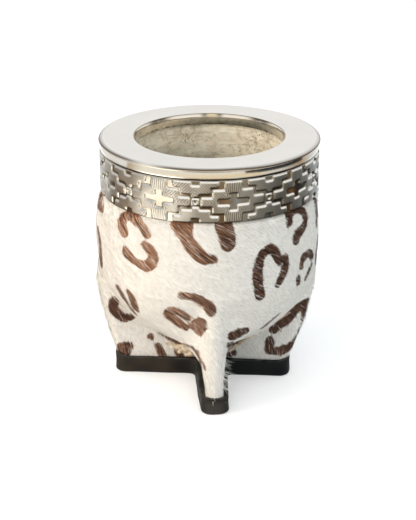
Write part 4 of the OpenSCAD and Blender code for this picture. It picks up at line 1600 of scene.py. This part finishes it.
def gourd_outside(inset):
    """Section of the gourd's outside, from its bottom to the top of its neck."""
    turn = np.radians(np.linspace(3, 90, 24))
    belly = BELLY_Z - (BELLY_Z - BELLY_LOW - inset) * np.cos(turn) ** (2 / BELLY_POWER)
    wall = np.linspace(BELLY_Z, TUCK_Z, 9)[1:]
    neck_r = TUCK_R - inset
    profile = [(GOURD_POLE, BELLY_LOW + inset), *[(body(z, inset), z) for z in (*belly, *wall)]]
    return [*profile, (neck_r, BAND_LOW), (neck_r, GOURD_TOP), (MOUTH_R + LIP_R + GOURD_FIT, GOURD_TOP)]


def gourd_inside(inset, neck_low):
    """Section of the gourd's inside, from its throat down to its bottom."""
    throat_r = MOUTH_R + PLATE_T + GOURD_FIT
    inside_r = BARREL_R - inset - GOURD_WALL
    inside_h = BELLY_Z - (BELLY_LOW + inset + GOURD_FLOOR)
    profile = [(throat_r, z) for z in np.linspace(TOP_Z - LIP_R - GOURD_FIT, neck_low, 16)]
    for share in np.linspace(1, 0, 30)[1:]:
        r = inside_r + (throat_r - inside_r) * (1 - math.cos(math.pi * share)) / 2
        profile.append((r, BELLY_Z + (neck_low - BELLY_Z) * share))
    bowl = np.radians(np.linspace(90, 1, 40)[1:])
    return profile + [(inside_r * math.sin(t), BELLY_Z - inside_h * math.cos(t)) for t in bowl]


def make_gourd():
    """The gourd: its outside under the hide, and an uneven, scraped inside."""
    inset = HIDE_T + GOURD_FIT
    neck_low = GOURD_TOP - GOURD_NECK_H
    outside = gourd_outside(inset)
    profile = outside + gourd_inside(inset, neck_low)
    points = lathe(profile, GOURD_COLUMNS)
    z = points[..., 2]
    scraped = np.arange(len(profile))[:, None] >= len(outside)
    rough = scraped * (1 - smooth_step(z, neck_low, GOURD_TOP - 3))
    bumps = 0.25 * wobble(points, 13, 41) + 0.12 * wobble(points, 4, 42)
    points = points + grid_normals(points) * (bumps * rough)[..., None]
    # Painted shade: browner just under the lip, and greyer deep down, higher on the left
    throat = smooth_step(z, *THROAT_BROWN) * (0.1 + 0.25 * wobble(points, 6, 43))
    level = z + DEEP_LEFT * points[..., 0] + 2 * wobble(points, 9, 44)
    deep = DEEP_GREY * (1 - smooth_step(level, *DEEP_Z))
    floats = {"throat": np.clip(throat, 0, 1), "deep": np.clip(deep, 0, 1)}
    ob = grid_object("gourd_shell", points, floats=floats)
    add_turned(ob, points)
    dress(ob, gourd_material(), "gourd", "gourd_cup")


def finish_cores():
    """The stiffeners keep their CAD shape and get a leather material."""
    mat = core_material()
    for name in ("leg_core_front", "leg_core_right", "leg_core_back", "leg_core_left"):
        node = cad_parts[name]
        node.data.materials.clear()
        node.data.materials.append(mat)


# Studio


def empty_nodes(owner):
    """The empty node tree of a new material or world."""
    nodes = Nodes(owner)
    nodes.tree.nodes.clear()
    return nodes


def white_where_seen(nodes, lit, white):
    """Mixes in plain white where the camera, a mirror or glass looks at the background."""
    path = nodes.add("LightPath").node.outputs
    seen = path["Is Camera Ray"]
    for ray in ("Is Glossy Ray", "Is Transmission Ray"):
        seen = nodes.maths("MAXIMUM", seen, path[ray])
    return nodes.add("MixShader", {0: seen, 1: lit, 2: white})


SKY = (0.93, 0.975, 1.0, 1)
SKY_POWER = 0.93
WHITE = (1, 1, 1, 1)


def make_world():
    """Soft light from all round, and a white background."""
    world = bpy.data.worlds.new("studio")
    bpy.context.scene.world = world
    nodes = empty_nodes(world)
    soft = nodes.add("Background", {"Color": SKY, "Strength": SKY_POWER})
    white = nodes.add("Background", {"Color": WHITE, "Strength": 1.0})
    nodes.close("World", white_where_seen(nodes, soft, white))


FLOOR_HALF = 3000
FLOOR_GREY = (0.8, 0.8, 0.8, 1)
FLOOR_GLOW = 0.32


def make_floor():
    """A pale floor that keeps the shadow and fades to white."""
    corners = np.array([(-1, -1, 0), (1, -1, 0), (1, 1, 0), (-1, 1, 0)])
    floor = new_object("floor", corners * FLOOR_HALF, [(0, 1, 2, 3)])
    nodes = empty_nodes(bpy.data.materials.new("pale_floor"))
    pale = nodes.add("BsdfDiffuse", {"Color": FLOOR_GREY})
    glow = nodes.add("Emission", {"Strength": FLOOR_GLOW})
    nodes.close("Material", white_where_seen(nodes, pale, nodes.add("AddShader", {0: pale, 1: glow})))
    floor.data.materials.append(nodes.owner)


def add_card(name, points, faces, tones):
    """A card that only polished surfaces see. Its tones change round the object, unless it has just one."""
    card = new_object(name, points, faces)
    nodes = empty_nodes(bpy.data.materials.new(name))
    if len(tones) > 1:
        place = nodes.add("TexCoord", output="Object")
        turn = nodes.add("TexGradient", {"Vector": place}, "Fac", gradient_type="RADIAL")
        colour = nodes.ramp(turn, *tones)
    else:
        colour = (*tones[0][1], 1)
    nodes.close("Material", nodes.add("Emission", {"Color": colour}))
    card.data.materials.append(nodes.owner)
    for ray in ("camera", "diffuse", "transmission", "volume_scatter", "shadow"):
        setattr(card, "visible_" + ray, False)


# Tones of the table that the metal mirrors, by the share of a turn from the left round by the front
NEAR_TONES = (
    (0.02, (0.2, 0.14, 0.1)),
    (0.06, (3.3, 3.05, 2.7)),
    (0.15, (3.5, 3.3, 2.95)),
    (0.19, (0.4, 0.3, 0.2)),
    (0.22, (0.2, 0.14, 0.085)),
    (0.27, (0.26, 0.17, 0.1)),
    (0.3, (0.5, 0.33, 0.19)),
    (0.325, (0.6, 0.68, 0.72)),
    (0.35, (0.44, 0.39, 0.32)),
    (0.4, (0.29, 0.29, 0.28)),
    (0.43, (0.025, 0.024, 0.023)),
    (0.48, (0.035, 0.034, 0.033)),
    (0.5, (0.4, 0.21, 0.1)),
    (0.52, (0.03, 0.03, 0.03)),
    (0.56, (0.1, 0.11, 0.115)),
    (0.6, (1.2, 1.28, 1.32)),
    (0.7, (1.3, 1.36, 1.4)),
    (0.78, (1.5, 1.55, 1.58)),
    (0.87, (1.6, 1.64, 1.66)),
    (0.9, (0.9, 0.88, 0.84)),
    (0.92, (0.2, 0.14, 0.095)),
    (0.98, (0.18, 0.13, 0.085)),
)
FAR_TONES = (
    (0.0, (0.5, 0.38, 0.24)),
    (0.06, (1.05, 0.98, 0.85)),
    (0.24, (1.0, 0.86, 0.62)),
    (0.38, (0.9, 0.77, 0.55)),
    (0.42, (0.85, 0.8, 0.68)),
    (0.46, (0.8, 0.78, 0.72)),
    (0.5, (0.5, 0.46, 0.38)),
    (0.54, (0.5, 0.34, 0.19)),
    (0.58, (0.7, 0.68, 0.62)),
    (0.64, (0.95, 0.98, 1.0)),
    (0.9, (0.95, 0.93, 0.9)),
)
# Tones of the room's wall and of the skirting below it, in the same form
WALL_TONES = (
    (0.0, (0.6, 0.56, 0.5)),
    (0.08, (1.2, 1.15, 1.06)),
    (0.18, (1.2, 1.15, 1.06)),
    (0.24, (0.88, 0.85, 0.79)),
    (0.3, (1.2, 1.17, 1.12)),
    (0.42, (1.2, 1.15, 1.06)),
    (0.52, (0.5, 0.46, 0.4)),
)
SKIRTING_TONES = (
    (0.0, (0.2, 0.14, 0.08)),
    (0.07, (0.5, 0.4, 0.26)),
    (0.16, (0.3, 0.21, 0.12)),
    (0.25, (0.16, 0.12, 0.06)),
    (0.36, (0.16, 0.12, 0.07)),
    (0.46, (0.12, 0.11, 0.085)),
)
RIGHT_TONES = ((0.0, (0.03, 0.032, 0.033)),)
# Flat rings of the table: near and far edge. Round walls: lower and upper edge
NEAR_TABLE, FAR_TABLE = (56, 340), (340, 1600)
SKIRTING, WALL = (110, 180), (180, 500)
TABLE_Z = 0.8
TABLE_STEPS = 96
WALL_R = 1000
WALL_TURN = (192, 348)
WALL_STEPS = 72
# Dark wall to the right of the object
RIGHT_X, RIGHT_Y, RIGHT_Z = 500, (-700, 150), (1, 140)


def ring_card(name, edges, tones):
    """A flat ring on the floor round the object."""
    turn = np.arange(TABLE_STEPS) * 2 * math.pi / TABLE_STEPS
    points = np.concatenate([around(r, turn, TABLE_Z) for r in edges])
    add_card(name, points, grid_faces(2, TABLE_STEPS)[0].tolist(), tones)


def wall_card(name, edges, tones):
    """A round wall in front of the object and beside it."""
    turn = np.radians(np.linspace(*WALL_TURN, WALL_STEPS))
    points = np.concatenate([around(WALL_R, turn, z) for z in edges])
    faces = [(k, k + 1, WALL_STEPS + k + 1, WALL_STEPS + k) for k in range(WALL_STEPS - 1)]
    add_card(name, points, faces, tones)


def make_cards():
    """Cards for the metal: a table and the walls of a room."""
    ring_card("near_table", NEAR_TABLE, NEAR_TONES)
    ring_card("far_table", FAR_TABLE, FAR_TONES)
    wall_card("skirting", SKIRTING, SKIRTING_TONES)
    wall_card("room_wall", WALL, WALL_TONES)
    side = [(RIGHT_X, y, z) for y, z in zip((*RIGHT_Y, *RIGHT_Y[::-1]), np.repeat(RIGHT_Z, 2))]
    add_card("right_wall", side, [(0, 1, 2, 3)], RIGHT_TONES)


# Lamps in metres and watts: place, width and height, power and colour
LAMPS = {
    "key": ((-0.97, -0.38, 0.5), (0.8, 0.5), 5.3, (1.0, 0.86, 0.7)),
    "low_key": ((-0.93, -0.4, 0.1), (0.5, 0.2), 4.2, (1.0, 0.82, 0.62)),
    "front": ((-0.15, -0.7, 0.8), (0.6, 0.5), 2.0, (1.0, 0.95, 0.88)),
    "fill": ((0.8, -0.6, 0.16), (0.6, 0.3), 0.8, (0.7, 0.93, 1.0)),
}
LAMP_TARGET = Vector((0, 0, 0.055))


def make_lights():
    """Soft lamps. Polished surfaces see the cards in their place."""
    for name, (place, size, power, colour) in LAMPS.items():
        data = bpy.data.lights.new(name, "AREA")
        data.shape = "RECTANGLE"
        data.size, data.size_y = size
        data.energy = power
        data.color = colour
        lamp = bpy.data.objects.new(name, data)
        lamp.location = place
        lamp.rotation_euler = (LAMP_TARGET - Vector(place)).to_track_quat("-Z", "Y").to_euler()
        lamp.visible_glossy = False
        bpy.context.scene.collection.objects.link(lamp)


def make_camera():
    """The photograph's camera."""
    data = bpy.data.cameras.new("camera")
    data.sensor_width = SENSOR
    data.lens = FOCAL_PX * SENSOR / PHOTO_H
    data.shift_x = (PHOTO_W / 2 - AXIS_X) / PHOTO_H
    camera = bpy.data.objects.new("camera", data)
    camera.location = EYE * MM
    camera.rotation_euler = (math.pi / 2 - EYE_PITCH, 0, 0)
    bpy.context.scene.collection.objects.link(camera)
    bpy.context.scene.camera = camera


make_camera()
make_world()
make_floor()
make_lights()
make_cards()
make_gourd()
make_rim()
make_collar()
make_band()
make_hide()
finish_cores()
make_sole()

bpy.context.scene.view_settings.view_transform = "Standard"
